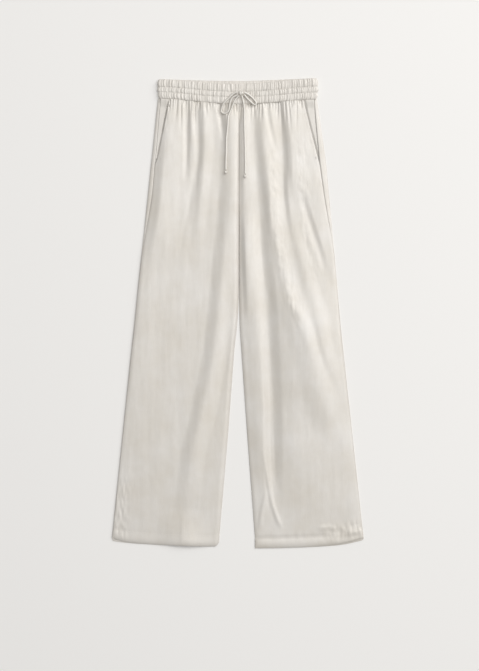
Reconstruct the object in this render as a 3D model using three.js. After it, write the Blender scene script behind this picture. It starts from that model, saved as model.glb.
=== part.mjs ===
import * as THREE from 'three';

// Straight satin trousers, laid flat on their back with the front up.
// Millimetres. X runs across, Y from the hems to the waist, Z up from the surface they lie on.
// The origin is in the middle of the outline, on that surface. Left and right are as seen.

const { clamp, lerp, smoothstep } = THREE.MathUtils;

// Driving dimensions

const WALL = 1.2;
const SEAM_GAP = 0.3;
const WAIST_SEAM_Y = 485;
const HEM_Y = -533;

// The cloth turns over at each side and comes round to the front by the column "wrap".
const FOLD_RADIUS = 1.5;
const FOLD_TOP = 2 * FOLD_RADIUS;

// A slanted pocket opening runs from the waistband to its foot, over a facing.
const POCKET_FOOT_Y = 351;
const POCKET_UNDERLAP = 8;

const WAISTBAND = {
  halfWidth: 180,
  wall: 2.8,
  hollow: 1.8,
  topY: 531.8,
  bottomY: WAIST_SEAM_Y + SEAM_GAP,
  tilt: 1.2,
  dipFrontTop: 11.5,
  dipBackTop: 4.5,
  dipFrontBottom: 11.3,
  dipBackBottom: 4,
  gathers: 56,
  pointsPerGather: 3,
  backColumns: 12,
  sideColumns: 4,
};
const WAISTBAND_HEIGHT = 2 * WAISTBAND.wall + WAISTBAND.hollow;

// Rows of the waistband from its top edge down: "part" of its height, how far each row puffs
// out, how deep its gathers are, and how far the sides stand out.
const WAISTBAND_ROWS = [
  { name: 'top edge', part: 0, puff: 0.3, gather: 0.7, side: -0.5 },
  { name: 'top casing', part: 0.21, puff: 1.2, gather: 1.2, side: 1 },
  { name: 'upper seam', part: 0.41, puff: 0, gather: 0.5, side: 0 },
  { name: 'drawstring channel', part: 0.55, puff: 1, gather: 1, side: 1.5 },
  { name: 'lower seam', part: 0.68, puff: 0, gather: 0.5, side: 0 },
  { name: 'lower casing', part: 0.84, puff: 1.1, gather: 1.1, side: 0.5 },
  { name: 'bottom edge', part: 1, puff: 0, gather: 0.6, side: -1.5 },
];

// Sections of the legs from the waist down: the x of the "side", how far the back "wrap"s round
// to the front, how much pocket "facing" shows, and the x of the "inner" edge.
const LEFT_SECTIONS = [
  { y: 485, side: -181, wrap: 5.5, facing: 20, inner: 3 },
  { y: 439, side: -186, wrap: 6.4, facing: 15, inner: 3 },
  { y: 351, side: -195, wrap: 8.2, facing: 4, inner: 3 },
  { y: 335, side: -197, wrap: 8.4, facing: 0, inner: 3 },
  { y: 257, side: -205, wrap: 8.9, facing: 0, inner: 3 },
  { y: 133, side: -218, wrap: 1.8, facing: 0, inner: 2.7 },
  { y: 30, side: -229, wrap: 1.8, facing: 0, inner: 2 },
  { y: -30, side: -235, wrap: 1.8, facing: 0, inner: -1.5 },
  { y: -83, side: -241, wrap: 1.8, facing: 0, inner: -7.5 },
  { y: -276, side: -261, wrap: 1.8, facing: 0, inner: -22 },
  { y: -510, side: -285, wrap: 1.8, facing: 0, inner: -42 },
];
const RIGHT_SECTIONS = [
  { y: 485, side: 179, wrap: 5.7, facing: 24, inner: 3 },
  { y: 439, side: 186.5, wrap: 9.8, facing: 17, inner: 3 },
  { y: 351, side: 199, wrap: 14.6, facing: 2, inner: 3 },
  { y: 335, side: 201, wrap: 14.6, facing: 0, inner: 3 },
  { y: 257, side: 208, wrap: 10.3, facing: 0, inner: 3 },
  { y: 133, side: 219, wrap: 2.4, facing: 0, inner: 3.1 },
  { y: 30, side: 228, wrap: 1.8, facing: 0, inner: 3.3 },
  { y: -30, side: 233.5, wrap: 1.8, facing: 0, inner: 4.5 },
  { y: -83, side: 239, wrap: 1.8, facing: 0, inner: 8 },
  { y: -276, side: 260, wrap: 1.8, facing: 0, inner: 21.5 },
  { y: -510, side: 285, wrap: 1.8, facing: 0, inner: 39 },
];

// The curve of each hem, from its outer corner inwards on the left and outwards on the right.
const LEFT_HEM = [
  { x: -285, y: -510 },
  { x: -258, y: -518 },
  { x: -193, y: -524 },
  { x: -128, y: -527 },
  { x: -48, y: -529 },
];
const RIGHT_HEM = [
  { x: 40, y: -533 },
  { x: 106, y: -532 },
  { x: 177, y: -529 },
  { x: 228, y: -524 },
  { x: 285, y: -510 },
];

// Height of the front's outer face from the waist down: in the "middle" of a leg, at its
// "inner" edge and at its "outer" edge.
const CROWN = [
  { y: 485, middle: 6.6, inner: 6.4, outer: 5.6 },
  { y: 430, middle: 5.8, inner: 4.8, outer: 5.2 },
  { y: 350, middle: 5.6, inner: 3.4, outer: 5 },
  { y: 310, middle: 5.6, inner: 3, outer: 3 },
  { y: 0, middle: 5.4, inner: 3, outer: 3 },
  { y: -400, middle: 4.8, inner: 3, outer: 3 },
  { y: -533, middle: 4.2, inner: 3, outer: 3 },
];
const LOWEST_FRONT = FOLD_TOP;
const OUTER_ROLL = 16;

// Short gathers where the front is sewn to the waistband: one over every two columns.
const SEAM_GATHER = { depth: 0.7, length: 38 };

// Folds of the fronts. Height is up from the crown, and below 0 for a trough. Left and right
// are the reach on each side of the path, seen walking it with the waist behind. FadeIn and
// fadeOut are the parts of the path over which the fold comes and goes.
const LEFT_FOLDS = [
  { name: 'hip swell', height: 1.8, left: 28, right: 30, fadeIn: 0, fadeOut: 0.4,
    path: [[-152, 485], [-158, 371], [-163, 264], [-177, 178]] },
  { name: 'outer pleat', height: -2, left: 9, right: 10, fadeIn: 0, fadeOut: 0.5,
    path: [[-118, 485], [-116, 371], [-120, 291]] },
  { name: 'small ridge', height: 1.4, left: 9, right: 10, fadeIn: 0, fadeOut: 0.6,
    path: [[-106, 485], [-104, 416], [-102, 360]] },
  { name: 'bent pleat', height: -2, left: 11, right: 10, fadeIn: 0, fadeOut: 0.5,
    path: [[-86, 485], [-84, 416], [-86, 348], [-109, 244], [-140, 108]] },
  { name: 'broad ridge', height: 2.2, left: 15, right: 18, fadeIn: 0, fadeOut: 0.5,
    path: [[-72, 485], [-65, 416], [-68, 355], [-86, 219], [-99, 137]] },
  { name: 'deep pleat', height: -2.6, left: 8, right: 11, fadeIn: 0, fadeOut: 0.6,
    path: [[-44, 480], [-38, 439], [-31, 380]] },
  { name: 'long fold', height: 3.2, left: 16, right: 38, fadeIn: 0.06, fadeOut: 0.3,
    path: [[-22, 478], [-21, 394], [-22, 303], [-38, 144], [-62, -83], [-102, -310], [-122, -496]] },
  { name: 'hem lift', height: 1.5, left: 55, right: 55, fadeIn: 0.7, fadeOut: 0,
    path: [[-140, -400], [-132, -470], [-130, -530]] },
  { name: 'hem crease', height: -1.4, left: 7, right: 7, fadeIn: 0.4, fadeOut: 0,
    path: [[-128, -465], [-128, -530]] },
];
const RIGHT_FOLDS = [
  { name: 'inner ridge', height: 2.8, left: 16, right: 15, fadeIn: 0.05, fadeOut: 0.2,
    path: [[25, 478], [28, 371], [33, 121], [46, -50], [55, -281], [66, -367], [82, -480]] },
  { name: 'inner trough', height: -2.2, left: 13, right: 18, fadeIn: 0, fadeOut: 0.25,
    path: [[41, 478], [50, 371], [59, 235], [71, 121], [80, -26], [89, -197], [103, -458]] },
  { name: 'great ridge', height: 4.4, left: 42, right: 15, fadeIn: 0.25, fadeOut: 0.2,
    path: [[55, 480], [73, 366], [91, 212], [121, 42], [159, -49], [193, -174], [232, -262], [259, -301]] },
  { name: 'slant pleat', height: -1.6, left: 8, right: 9, fadeIn: 0, fadeOut: 0.6,
    path: [[79, 480], [90, 412], [105, 330]] },
  { name: 'outer trough', height: -2.6, left: 14, right: 13, fadeIn: 0, fadeOut: 0.4,
    path: [[101, 480], [105, 412], [114, 298], [121, 235], [128, 167]] },
  { name: 'outer ridge', height: 2.2, left: 13, right: 36, fadeIn: 0, fadeOut: 0.4,
    path: [[120, 483], [130, 412], [135, 298], [139, 240]] },
  { name: 'hip diagonal', height: 2.4, left: 14, right: 16, fadeIn: 0.25, fadeOut: 0.35,
    path: [[134, 262], [143, 185], [164, 128], [187, 71], [214, 15], [224, -72]] },
  { name: 'hip trough', height: -2, left: 12, right: 13, fadeIn: 0.3, fadeOut: 0.4,
    path: [[158, 290], [170, 223], [187, 167], [198, 117], [222, 52]] },
  { name: 'knee trough', height: -2, left: 13, right: 13, fadeIn: 0.3, fadeOut: 0.4,
    path: [[168, 25], [187, -26], [198, -72], [216, -124], [240, -178]] },
  { name: 'hem roll', height: 1.4, left: 12, right: 12, fadeIn: 0.5, fadeOut: 0,
    path: [[187, -497], [240, -490], [284, -480]] },
];

// Each leg: the way from its inner edge to its side along X, and how far its inner edge rolls.
const LEGS = [
  { name: 'left', way: -1, innerRoll: 12, sections: LEFT_SECTIONS, hem: LEFT_HEM, folds: LEFT_FOLDS },
  { name: 'right', way: 1, innerRoll: 24, sections: RIGHT_SECTIONS, hem: RIGHT_HEM, folds: RIGHT_FOLDS },
];
const LEG_ROWS = 24;
const ROW_CROWDING = 1.3;
const FRONT_COLUMNS = 36;
const BACK_COLUMNS = 3;
const BACK_TURN_COLUMNS = 4;

// The drawstring is a thin round tube of the same cloth, tied in a bow at the centre front.
const CORD = { radius: 1.7, sides: 8, stepDiameters: 2.5 };
const KNOT = { at: [7, 498, 13.9], half: [6.5, 4, 3.2] };
const TAIL_KNOT = { half: [3.6, 4.2, 2.6] };
const CORDS = [
  { name: 'drawstring_loop_left',
    route: [[-1.4, 499.4, 13.6], [-10, 496.5, 12.4], [-21, 486, 11.4], [-31, 476, 10.8], [-37, 462, 9],
      [-36, 455, 8.6], [-29, 452.5, 9.4], [-21, 459, 9.8], [-17.5, 476, 10.9], [-12.5, 487, 11.6],
      [-0.6, 494.2, 13.2]] },
  { name: 'drawstring_tail_left',
    route: [[3.4, 492.2, 13], [-3.5, 486, 11.6], [-9, 477, 11], [-13, 466, 10], [-17.5, 455, 9.9],
      [-21.5, 444, 10.4], [-23, 419, 11], [-25.5, 396, 10.9], [-26, 367, 10.7], [-27, 341, 10.5],
      [-27, 325, 10.6]] },
  { name: 'drawstring_loop_right',
    route: [[15.2, 499.4, 13.6], [24, 495, 12.2], [34, 487, 11.2], [41.5, 476.5, 10.8], [38, 472, 10.6],
      [31, 477, 10.8], [22, 485.5, 11.4], [14.4, 494.4, 13.2]] },
  { name: 'drawstring_tail_right',
    route: [[9, 492, 13], [11, 485, 11.6], [13, 476, 11], [14.5, 466, 9.6], [15, 454, 9], [15, 432, 9],
      [16, 394, 8.9], [17, 348, 8.8], [17, 316, 8.6]] },
];
const TAIL_KNOTS = [
  { name: 'drawstring_end_left', at: [-27, 319.5, 11.5] },
  { name: 'drawstring_end_right', at: [17, 310.5, 9.4] },
];

// Materials

const satin = (name, color) => new THREE.MeshStandardMaterial({ name, color, roughness: 0.42, metalness: 0 });
const FRONT_CLOTH = satin('satin', 0xdedcd6);
const BACK_CLOTH = satin('satin', 0xd6d4ce);
const FACING_CLOTH = satin('satin', 0xcfccc5);
const WAISTBAND_CLOTH = satin('waistband', 0xdad7d0);
const CORD_CLOTH = satin('drawstring', 0xd8d5ce);

// Tables

// A smooth value of every column of a table at one value of its key column.
function rowAt(table, key, value) {
  const rising = table[0][key] < table[1][key];
  const past = (row) => (rising ? row[key] >= value : row[key] <= value);
  const last = table.length - 1;
  const found = table.findIndex(past);
  const index = clamp(found === -1 ? last : found, 1, last);
  const from = table[index - 1];
  const to = table[index];
  const before = table[Math.max(index - 2, 0)];
  const after = table[Math.min(index + 1, last)];
  const span = to[key] - from[key];
  const t = clamp((value - from[key]) / span, 0, 1);
  const row = {};
  for (const column of Object.keys(from)) {
    const slopeFrom = (to[column] - before[column]) / (to[key] - before[key]);
    const slopeTo = (after[column] - from[column]) / (after[key] - from[key]);
    row[column] = (2 * t ** 3 - 3 * t ** 2 + 1) * from[column]
      + (t ** 3 - 2 * t ** 2 + t) * span * slopeFrom
      + (3 * t ** 2 - 2 * t ** 3) * to[column]
      + (t ** 3 - t ** 2) * span * slopeTo;
  }
  return row;
}

// Folds

const FOLD_STEPS = 24;

function prepareFold(fold) {
  const curve = new THREE.SplineCurve(fold.path.map(([x, y]) => new THREE.Vector2(x, y)));
  return { ...fold, line: curve.getSpacedPoints(FOLD_STEPS) };
}

// How high a fold stands at a point: a soft ridge across its path, fading at both ends.
function foldHeight(fold, x, y) {
  const point = new THREE.Vector2(x, y);
  let nearest = Infinity;
  let side = 1;
  let along = 0;
  for (let step = 0; step < FOLD_STEPS; step += 1) {
    const start = fold.line[step];
    const way = fold.line[step + 1].clone().sub(start);
    const offset = point.clone().sub(start);
    const part = clamp(offset.dot(way) / way.lengthSq(), 0, 1);
    const distance = offset.clone().addScaledVector(way, -part).length();
    if (distance < nearest) {
      nearest = distance;
      side = Math.sign(way.cross(offset));
      along = (step + part) / FOLD_STEPS;
    }
  }
  const reach = side < 0 ? fold.left : fold.right;
  const comes = fold.fadeIn > 0 ? smoothstep(along, 0, fold.fadeIn) : 1;
  const goes = fold.fadeOut > 0 ? smoothstep(1 - along, 0, fold.fadeOut) : 1;
  return fold.height * comes * goes * smoothstep(1 - nearest / reach, 0, 1);
}

// Sheets of cloth

// A closed sheet from a grid of points, each with an outer and an inner side.
function sheetGeometry(columns, rows, pointAt) {
  const positions = [];
  const triangles = [];
  const stride = columns + 1;
  const layer = stride * (rows + 1);
  for (const face of ['outer', 'inner']) {
    for (let row = 0; row <= rows; row += 1) {
      for (let column = 0; column <= columns; column += 1) {
        positions.push(...pointAt(column, row)[face]);
      }
    }
  }
  const quad = (a, b, c, d) => triangles.push(a, b, c, a, c, d);
  for (let row = 0; row < rows; row += 1) {
    for (let column = 0; column < columns; column += 1) {
      const a = row * stride + column;
      quad(a, a + stride, a + stride + 1, a + 1);
      quad(layer + a, layer + a + 1, layer + a + stride + 1, layer + a + stride);
    }
  }
  for (let column = 0; column < columns; column += 1) {
    const foot = rows * stride + column;
    quad(column, column + 1, layer + column + 1, layer + column);
    quad(foot + 1, foot, layer + foot, layer + foot + 1);
  }
  for (let row = 0; row < rows; row += 1) {
    const start = row * stride;
    const end = start + columns;
    quad(start + stride, start, layer + start, layer + start + stride);
    quad(end, end + stride, layer + end + stride, layer + end);
  }
  return closedGeometry(positions, triangles);
}

// A geometry whose faces point out, whichever way round its points were given.
function closedGeometry(positions, triangles) {
  const geometry = new THREE.BufferGeometry();
  geometry.setAttribute('position', new THREE.Float32BufferAttribute(positions, 3));
  geometry.setIndex(signedVolume(positions, triangles) < 0 ? triangles.reverse() : triangles);
  geometry.computeVertexNormals();
  return geometry;
}

function signedVolume(positions, triangles) {
  const corner = (index) => new THREE.Vector3().fromArray(positions, 3 * index);
  let volume = 0;
  for (let index = 0; index < triangles.length; index += 3) {
    const [a, b, c] = [0, 1, 2].map((step) => corner(triangles[index + step]));
    volume += a.dot(b.cross(c)) / 6;
  }
  return volume;
}

// Waistband

// Height along Y of the waistband's edges, which dip towards the centre.
function dipAt(x) {
  return (1 - clamp(x / WAISTBAND.halfWidth, -1, 1) ** 2) ** 2;
}

function waistTop(x, isFront) {
  const dip = isFront ? WAISTBAND.dipFrontTop : WAISTBAND.dipBackTop;
  return WAISTBAND.topY + WAISTBAND.tilt * x / WAISTBAND.halfWidth - dip * dipAt(x);
}

function waistBottom(x, isFront) {
  const dip = isFront ? WAISTBAND.dipFrontBottom : WAISTBAND.dipBackBottom;
  return WAISTBAND.bottomY - WAISTBAND.tilt * x / WAISTBAND.halfWidth - dip * dipAt(x);
}

// A repeatable number from 0 to 1 for each whole number.
function scatter(index) {
  const value = Math.sin(index * 12.9898) * 43758.5453;
  return value - Math.floor(value);
}

// The points round the flattened waistband: along the front, round one side, along the back
// and round the other side. "turn" is the angle round a side, from the front to the back.
function waistbandStations() {
  const stations = [];
  const frontColumns = WAISTBAND.gathers * WAISTBAND.pointsPerGather;
  const reach = WAISTBAND.halfWidth - WAISTBAND_HEIGHT / 2;
  for (let column = 0; column <= frontColumns; column += 1) {
    const phase = column % WAISTBAND.pointsPerGather;
    const depth = lerp(0.45, 1, scatter(Math.floor(column / WAISTBAND.pointsPerGather)));
    const wave = phase === 1 ? depth : 0.35 * phase * (1 - depth);
    const lean = phase === 1 ? 0.3 * (scatter(column) - 0.5) : 0;
    const part = (column + lean) / frontColumns;
    stations.push({ x: lerp(-reach, reach, part), turn: 0, side: 0, wave });
  }
  for (let column = 1; column < WAISTBAND.sideColumns; column += 1) {
    stations.push({ x: reach, turn: Math.PI * column / WAISTBAND.sideColumns, side: 1, wave: 0 });
  }
  for (let column = 0; column <= WAISTBAND.backColumns; column += 1) {
    stations.push({ x: lerp(reach, -reach, column / WAISTBAND.backColumns), turn: Math.PI, side: 0, wave: 0 });
  }
  for (let column = WAISTBAND.sideColumns - 1; column > 0; column -= 1) {
    stations.push({ x: -reach, turn: Math.PI * column / WAISTBAND.sideColumns, side: -1, wave: 0 });
  }
  return stations;
}

function waistbandPoint(station, row, radius, relief) {
  const frontness = (1 + Math.cos(station.turn)) / 2;
  const out = radius + relief * row.side;
  const x = station.x * (1 + row.side / WAISTBAND.halfWidth) + station.side * out * Math.sin(station.turn);
  const top = lerp(waistTop(x, false), waistTop(x, true), frontness);
  const bottom = lerp(waistBottom(x, false), waistBottom(x, true), frontness);
  const raised = relief * frontness * (row.puff + row.gather * station.wave);
  const z = WAISTBAND_HEIGHT / 2 + radius * Math.cos(station.turn) + raised;
  return [x, lerp(top, bottom, row.part), z];
}

// One ring: gathered rows outside, plain inside.
function waistbandGeometry() {
  const stations = waistbandStations();
  const outerRadius = WAISTBAND_HEIGHT / 2;
  const innerRadius = WAISTBAND.hollow / 2;
  const [firstRow, lastRow] = [WAISTBAND_ROWS[0], WAISTBAND_ROWS.at(-1)];
  const loops = WAISTBAND_ROWS.map((row) => stations.map((station) => (
    waistbandPoint(station, row, outerRadius, 1))));
  loops.push(stations.map((station) => waistbandPoint(station, lastRow, innerRadius, 0)));
  loops.push(stations.map((station) => waistbandPoint(station, firstRow, innerRadius, 0)));
  const triangles = [];
  const count = stations.length;
  for (let loop = 0; loop < loops.length; loop += 1) {
    const next = (loop + 1) % loops.length;
    for (let station = 0; station < count; station += 1) {
      const beside = (station + 1) % count;
      const [a, b] = [loop * count + station, next * count + station];
      const [c, d] = [next * count + beside, loop * count + beside];
      triangles.push(a, b, c, a, c, d);
    }
  }
  return closedGeometry(loops.flat(2), triangles);
}

// Legs

// The height along Y of a leg's row, bent to the waist seam at the top and to the hem below.
function rowHeight(leg, x, down, isFront) {
  const seam = waistBottom(x, isFront) - SEAM_GAP - WAIST_SEAM_Y;
  const hem = rowAt(leg.hem, 'x', x).y - HEM_Y;
  return lerp(WAIST_SEAM_Y, HEM_Y, down) + seam * (1 - down) ** 3 + hem * down ** 6;
}

function innerEdge(leg, section) {
  return section.inner + leg.way * SEAM_GAP / 2;
}

// The side seam, where the back that came round ends.
function sideSeam(leg, section) {
  return section.side - leg.way * Math.max(section.wrap, FOLD_RADIUS + SEAM_GAP);
}

function frontEdge(leg, section) {
  return sideSeam(leg, section) - leg.way * Math.max(section.facing, SEAM_GAP);
}

// A row of a leg: how far down it lies, and the section there.
function legRow(leg, row) {
  const down = (row / LEG_ROWS) ** ROW_CROWDING;
  return { down, section: rowAt(leg.sections, 'y', lerp(WAIST_SEAM_Y, HEM_Y, down)) };
}

function frontHeight(leg, section, x, y) {
  const crown = rowAt(CROWN, 'y', y);
  const fromInner = clamp(Math.abs(x - innerEdge(leg, section)) / leg.innerRoll, 0, 1);
  const fromOuter = clamp(Math.abs(x - frontEdge(leg, section)) / OUTER_ROLL, 0, 1);
  let height = crown.middle;
  height -= (crown.middle - crown.inner) * (1 - fromInner) ** 2;
  height -= (crown.middle - crown.outer) * (1 - fromOuter) ** 2;
  for (const fold of leg.folds) height += foldHeight(fold, x, y);
  return Math.max(height, LOWEST_FRONT);
}

function frontGeometry(leg) {
  return sheetGeometry(FRONT_COLUMNS, LEG_ROWS, (column, row) => {
    const across = column / FRONT_COLUMNS;
    const level = legRow(leg, row);
    const nearX = lerp(innerEdge(leg, level.section), frontEdge(leg, level.section), across);
    const y = rowHeight(leg, nearX, level.down, true);
    const section = rowAt(leg.sections, 'y', y);
    const x = lerp(innerEdge(leg, section), frontEdge(leg, section), across);
    const height = frontHeight(leg, section, x, y);
    const nearSeam = clamp(1 - (WAIST_SEAM_Y - y) / SEAM_GATHER.length, 0, 1);
    const gather = (column % 2) * SEAM_GATHER.depth * nearSeam * lerp(0.4, 1, scatter(column));
    return { outer: [x, y, height + gather], inner: [x, y, height - WALL] };
  });
}

// The facing shows between the side seam and the pocket's edge, and runs on under the front.
const FACING_COLUMNS = 3;
const FACING_ROWS = 6;

function facingGeometry(leg) {
  return sheetGeometry(FACING_COLUMNS, FACING_ROWS, (column, row) => {
    const down = row / FACING_ROWS;
    const level = lerp(waistBottom(leg.way * WAISTBAND.halfWidth, true) - SEAM_GAP, POCKET_FOOT_Y, down);
    const section = rowAt(leg.sections, 'y', level);
    const seam = sideSeam(leg, section) - leg.way * SEAM_GAP;
    const under = frontEdge(leg, section) - leg.way * POCKET_UNDERLAP * (1 - 0.6 * down);
    const x = lerp(under, seam, column / FACING_COLUMNS);
    const y = level + (waistBottom(x, true) - SEAM_GAP - level) * (1 - down) ** 3 * (row === 0 ? 1 : 0);
    return { outer: [x, y, FOLD_TOP], inner: [x, y, FOLD_TOP - WALL] };
  });
}

// The back lies flat, turns up round the side and comes over to the side seam.
function backGeometry(leg) {
  const columns = BACK_COLUMNS + BACK_TURN_COLUMNS + 1;
  return sheetGeometry(columns, LEG_ROWS, (column, row) => {
    const level = legRow(leg, row);
    const part = clamp(column / BACK_COLUMNS, 0, 1);
    const nearX = lerp(innerEdge(leg, level.section), level.section.side, part);
    const y = rowHeight(leg, nearX, level.down, false);
    const section = rowAt(leg.sections, 'y', y);
    const turnX = section.side - leg.way * FOLD_RADIUS;
    if (column <= BACK_COLUMNS) {
      const x = lerp(innerEdge(leg, section), turnX, part);
      return { outer: [x, y, 0], inner: [x, y, WALL] };
    }
    const turn = Math.PI * clamp((column - BACK_COLUMNS) / BACK_TURN_COLUMNS, 0, 1);
    const isEnd = column === columns;
    const point = (radius) => [
      isEnd ? sideSeam(leg, section) : turnX + leg.way * radius * Math.sin(turn),
      y,
      FOLD_RADIUS - radius * Math.cos(turn),
    ];
    return { outer: point(FOLD_RADIUS), inner: point(FOLD_RADIUS - WALL) };
  });
}

// Drawstring

function cordGeometry(route) {
  const corners = [];
  for (let corner = 0; corner < CORD.sides; corner += 1) {
    const turn = 2 * Math.PI * corner / CORD.sides;
    corners.push(new THREE.Vector2(CORD.radius * Math.cos(turn), CORD.radius * Math.sin(turn)));
  }
  const curve = new THREE.CatmullRomCurve3(route.map((point) => new THREE.Vector3(...point)));
  const steps = Math.ceil(curve.getLength() / (2 * CORD.radius * CORD.stepDiameters));
  return new THREE.ExtrudeGeometry(new THREE.Shape(corners), { steps, extrudePath: curve });
}

function knotGeometry(half, at, segments) {
  return new THREE.SphereGeometry(1, segments, segments * 2 / 3).scale(...half).translate(...at);
}

// Assembly

function addPiece(group, name, geometry, material) {
  const piece = new THREE.Mesh(geometry, material);
  piece.name = name;
  group.add(piece);
}

function buildTrousers() {
  const trousers = new THREE.Group();
  for (const plan of LEGS) {
    const leg = { ...plan, folds: plan.folds.map(prepareFold) };
    addPiece(trousers, `back_leg_${leg.name}`, backGeometry(leg), BACK_CLOTH);
    addPiece(trousers, `front_leg_${leg.name}`, frontGeometry(leg), FRONT_CLOTH);
    addPiece(trousers, `pocket_facing_${leg.name}`, facingGeometry(leg), FACING_CLOTH);
  }
  addPiece(trousers, 'waistband', waistbandGeometry(), WAISTBAND_CLOTH);
  addPiece(trousers, 'drawstring_knot', knotGeometry(KNOT.half, KNOT.at, 12), CORD_CLOTH);
  for (const cord of CORDS) addPiece(trousers, cord.name, cordGeometry(cord.route), CORD_CLOTH);
  for (const end of TAIL_KNOTS) addPiece(trousers, end.name, knotGeometry(TAIL_KNOT.half, end.at, 9), CORD_CLOTH);
  return trousers;
}

export default buildTrousers();
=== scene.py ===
"""Straight satin trousers, laid flat with the front up, dressed for rendering.

Sizes are in millimetres, and MM turns them into metres as a piece is made. X runs across, Y
from the hems to the waist and Z up from the surface. Left and right are as seen.
"""

import logging
import math
import random
from dataclasses import dataclass, field
from enum import Enum
from typing import NamedTuple, Sequence

import bmesh
import bpy
import numpy as np
from mathutils import Matrix, Vector, noise


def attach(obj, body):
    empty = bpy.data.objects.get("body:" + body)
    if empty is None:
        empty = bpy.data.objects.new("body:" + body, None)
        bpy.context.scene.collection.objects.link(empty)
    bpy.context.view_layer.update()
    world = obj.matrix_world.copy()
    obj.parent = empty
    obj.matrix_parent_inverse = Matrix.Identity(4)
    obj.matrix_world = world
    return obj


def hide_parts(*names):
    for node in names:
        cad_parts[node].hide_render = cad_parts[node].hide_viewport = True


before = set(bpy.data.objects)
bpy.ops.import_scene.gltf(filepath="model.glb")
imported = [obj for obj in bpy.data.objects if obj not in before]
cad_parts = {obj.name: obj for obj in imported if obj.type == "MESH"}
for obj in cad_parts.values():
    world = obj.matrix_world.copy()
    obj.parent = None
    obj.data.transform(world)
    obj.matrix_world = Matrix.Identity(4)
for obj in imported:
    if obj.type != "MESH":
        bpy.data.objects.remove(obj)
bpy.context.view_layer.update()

LOG = logging.getLogger("trousers")
MM = 0.001
Array = np.ndarray
Point = tuple[float, float, float]

CLOTH_THICKNESS = 0.5
FLOOR_CLEARANCE = 0.15
WAIST_SEAM_Y = 485.0
HEM_Y = -533.0
FOLD_TOP = 3.4
FOLD_RADIUS = (FOLD_TOP - FLOOR_CLEARANCE) / 2


class Side(Enum):
    """A leg, by the way along X from its inner edge to its side."""

    LEFT = -1
    RIGHT = 1

    @property
    def label(self) -> str:
        """The side's name as the nodes have it."""
        return self.name.lower()


class Coordinates(Enum):
    """Where a finish reads its pattern's place."""

    CLOTH = "Cloth"
    OBJECT = "Object"


class Section(NamedTuple):
    """A level of a leg: x of its side and inner edge, and how far the back and facing show.

    Below the hip and the pocket the last two are the same at each level.
    """

    y: float
    side: float
    inner: float
    wrap: float = 0.4
    facing: float = 0.0


class HemPoint(NamedTuple):
    """A point of the hem's curve."""

    x: float
    y: float


class CrownRow(NamedTuple):
    """Heights of the front at a level: mid-leg, near each edge and at the edge itself."""

    y: float
    middle: float
    inner: float
    inner_edge: float
    outer: float
    outer_edge: float


class BandRow(NamedTuple):
    """A row of the waistband: its part of the height, puff, gather depth and side reach."""

    part: float
    puff: float
    gather: float
    side: float


def smooth(part: Array) -> Array:
    """Ease from 0 to 1 with a level start and a level end.

    Args:
        part: how far along each value is, taken as 0 below 0 and 1 above 1.

    Returns:
        The eased values.
    """
    part = np.clip(part, 0.0, 1.0)
    return part * part * (3.0 - 2.0 * part)


def mix(start: Array, end: Array, part: Array) -> Array:
    """Blend two values.

    Args:
        start: the value at part 0.
        end: the value at part 1.
        part: the share of the end value.

    Returns:
        The blended values.
    """
    return start + (end - start) * part


def curve(t: Array, start: Array, end: Array, leaving: Array, arriving: Array) -> Array:
    """Draw a smooth curve between two values.

    Args:
        t: how far along, from 0 to 1.
        start: the value at 0.
        end: the value at 1.
        leaving: the slope at the start.
        arriving: the slope at the end.

    Returns:
        The values along it.
    """
    return (
        (2 * t**3 - 3 * t**2 + 1) * start
        + (t**3 - 2 * t**2 + t) * leaving
        + (3 * t**2 - 2 * t**3) * end
        + (t**3 - t**2) * arriving
    )


@dataclass(frozen=True)
class Table:
    """Rows of sizes along one key column, read smoothly in between.

    Attributes:
        key: the column that the rows are ordered by.
        rows: the rows, rising or falling along the key.
    """

    key: str
    rows: Sequence[NamedTuple]

    def at(self, column: str, where: Array) -> Array:
        """Read a column.

        Args:
            column: the column's name.
            where: key values to read at.

        Returns:
            The column's values there.
        """
        keys = np.array([getattr(row, self.key) for row in self.rows], dtype=float)
        values = np.array([getattr(row, column) for row in self.rows], dtype=float)
        if keys[0] > keys[-1]:
            keys, values = keys[::-1], values[::-1]
        slopes = np.empty_like(values)
        slopes[1:-1] = (values[2:] - values[:-2]) / (keys[2:] - keys[:-2])
        slopes[0] = (values[1] - values[0]) / (keys[1] - keys[0])
        slopes[-1] = (values[-1] - values[-2]) / (keys[-1] - keys[-2])
        where = np.asarray(where, dtype=float)
        index = np.clip(np.searchsorted(keys, where) - 1, 0, len(keys) - 2)
        span = keys[index + 1] - keys[index]
        t = np.clip((where - keys[index]) / span, 0.0, 1.0)
        leaving, arriving = span * slopes[index], span * slopes[index + 1]
        return curve(t, values[index], values[index + 1], leaving, arriving)


def smooth_path(points: Sequence[Sequence[float]], steps: int) -> Array:
    """Draw a smooth line through points.

    Args:
        points: the points that the line passes through.
        steps: how many pieces each stretch between two points gets.

    Returns:
        The line's points, one to a row.
    """
    corners = np.asarray(points, dtype=float)
    ends = np.vstack([corners[:1], corners, corners[-1:]])
    slopes = (ends[2:] - ends[:-2]) / 2
    line = []
    for start, end, leaving, arriving in zip(corners, corners[1:], slopes, slopes[1:]):
        line += [curve(step / steps, start, end, leaving, arriving) for step in range(steps)]
    line.append(corners[-1])
    return np.array(line)


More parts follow.
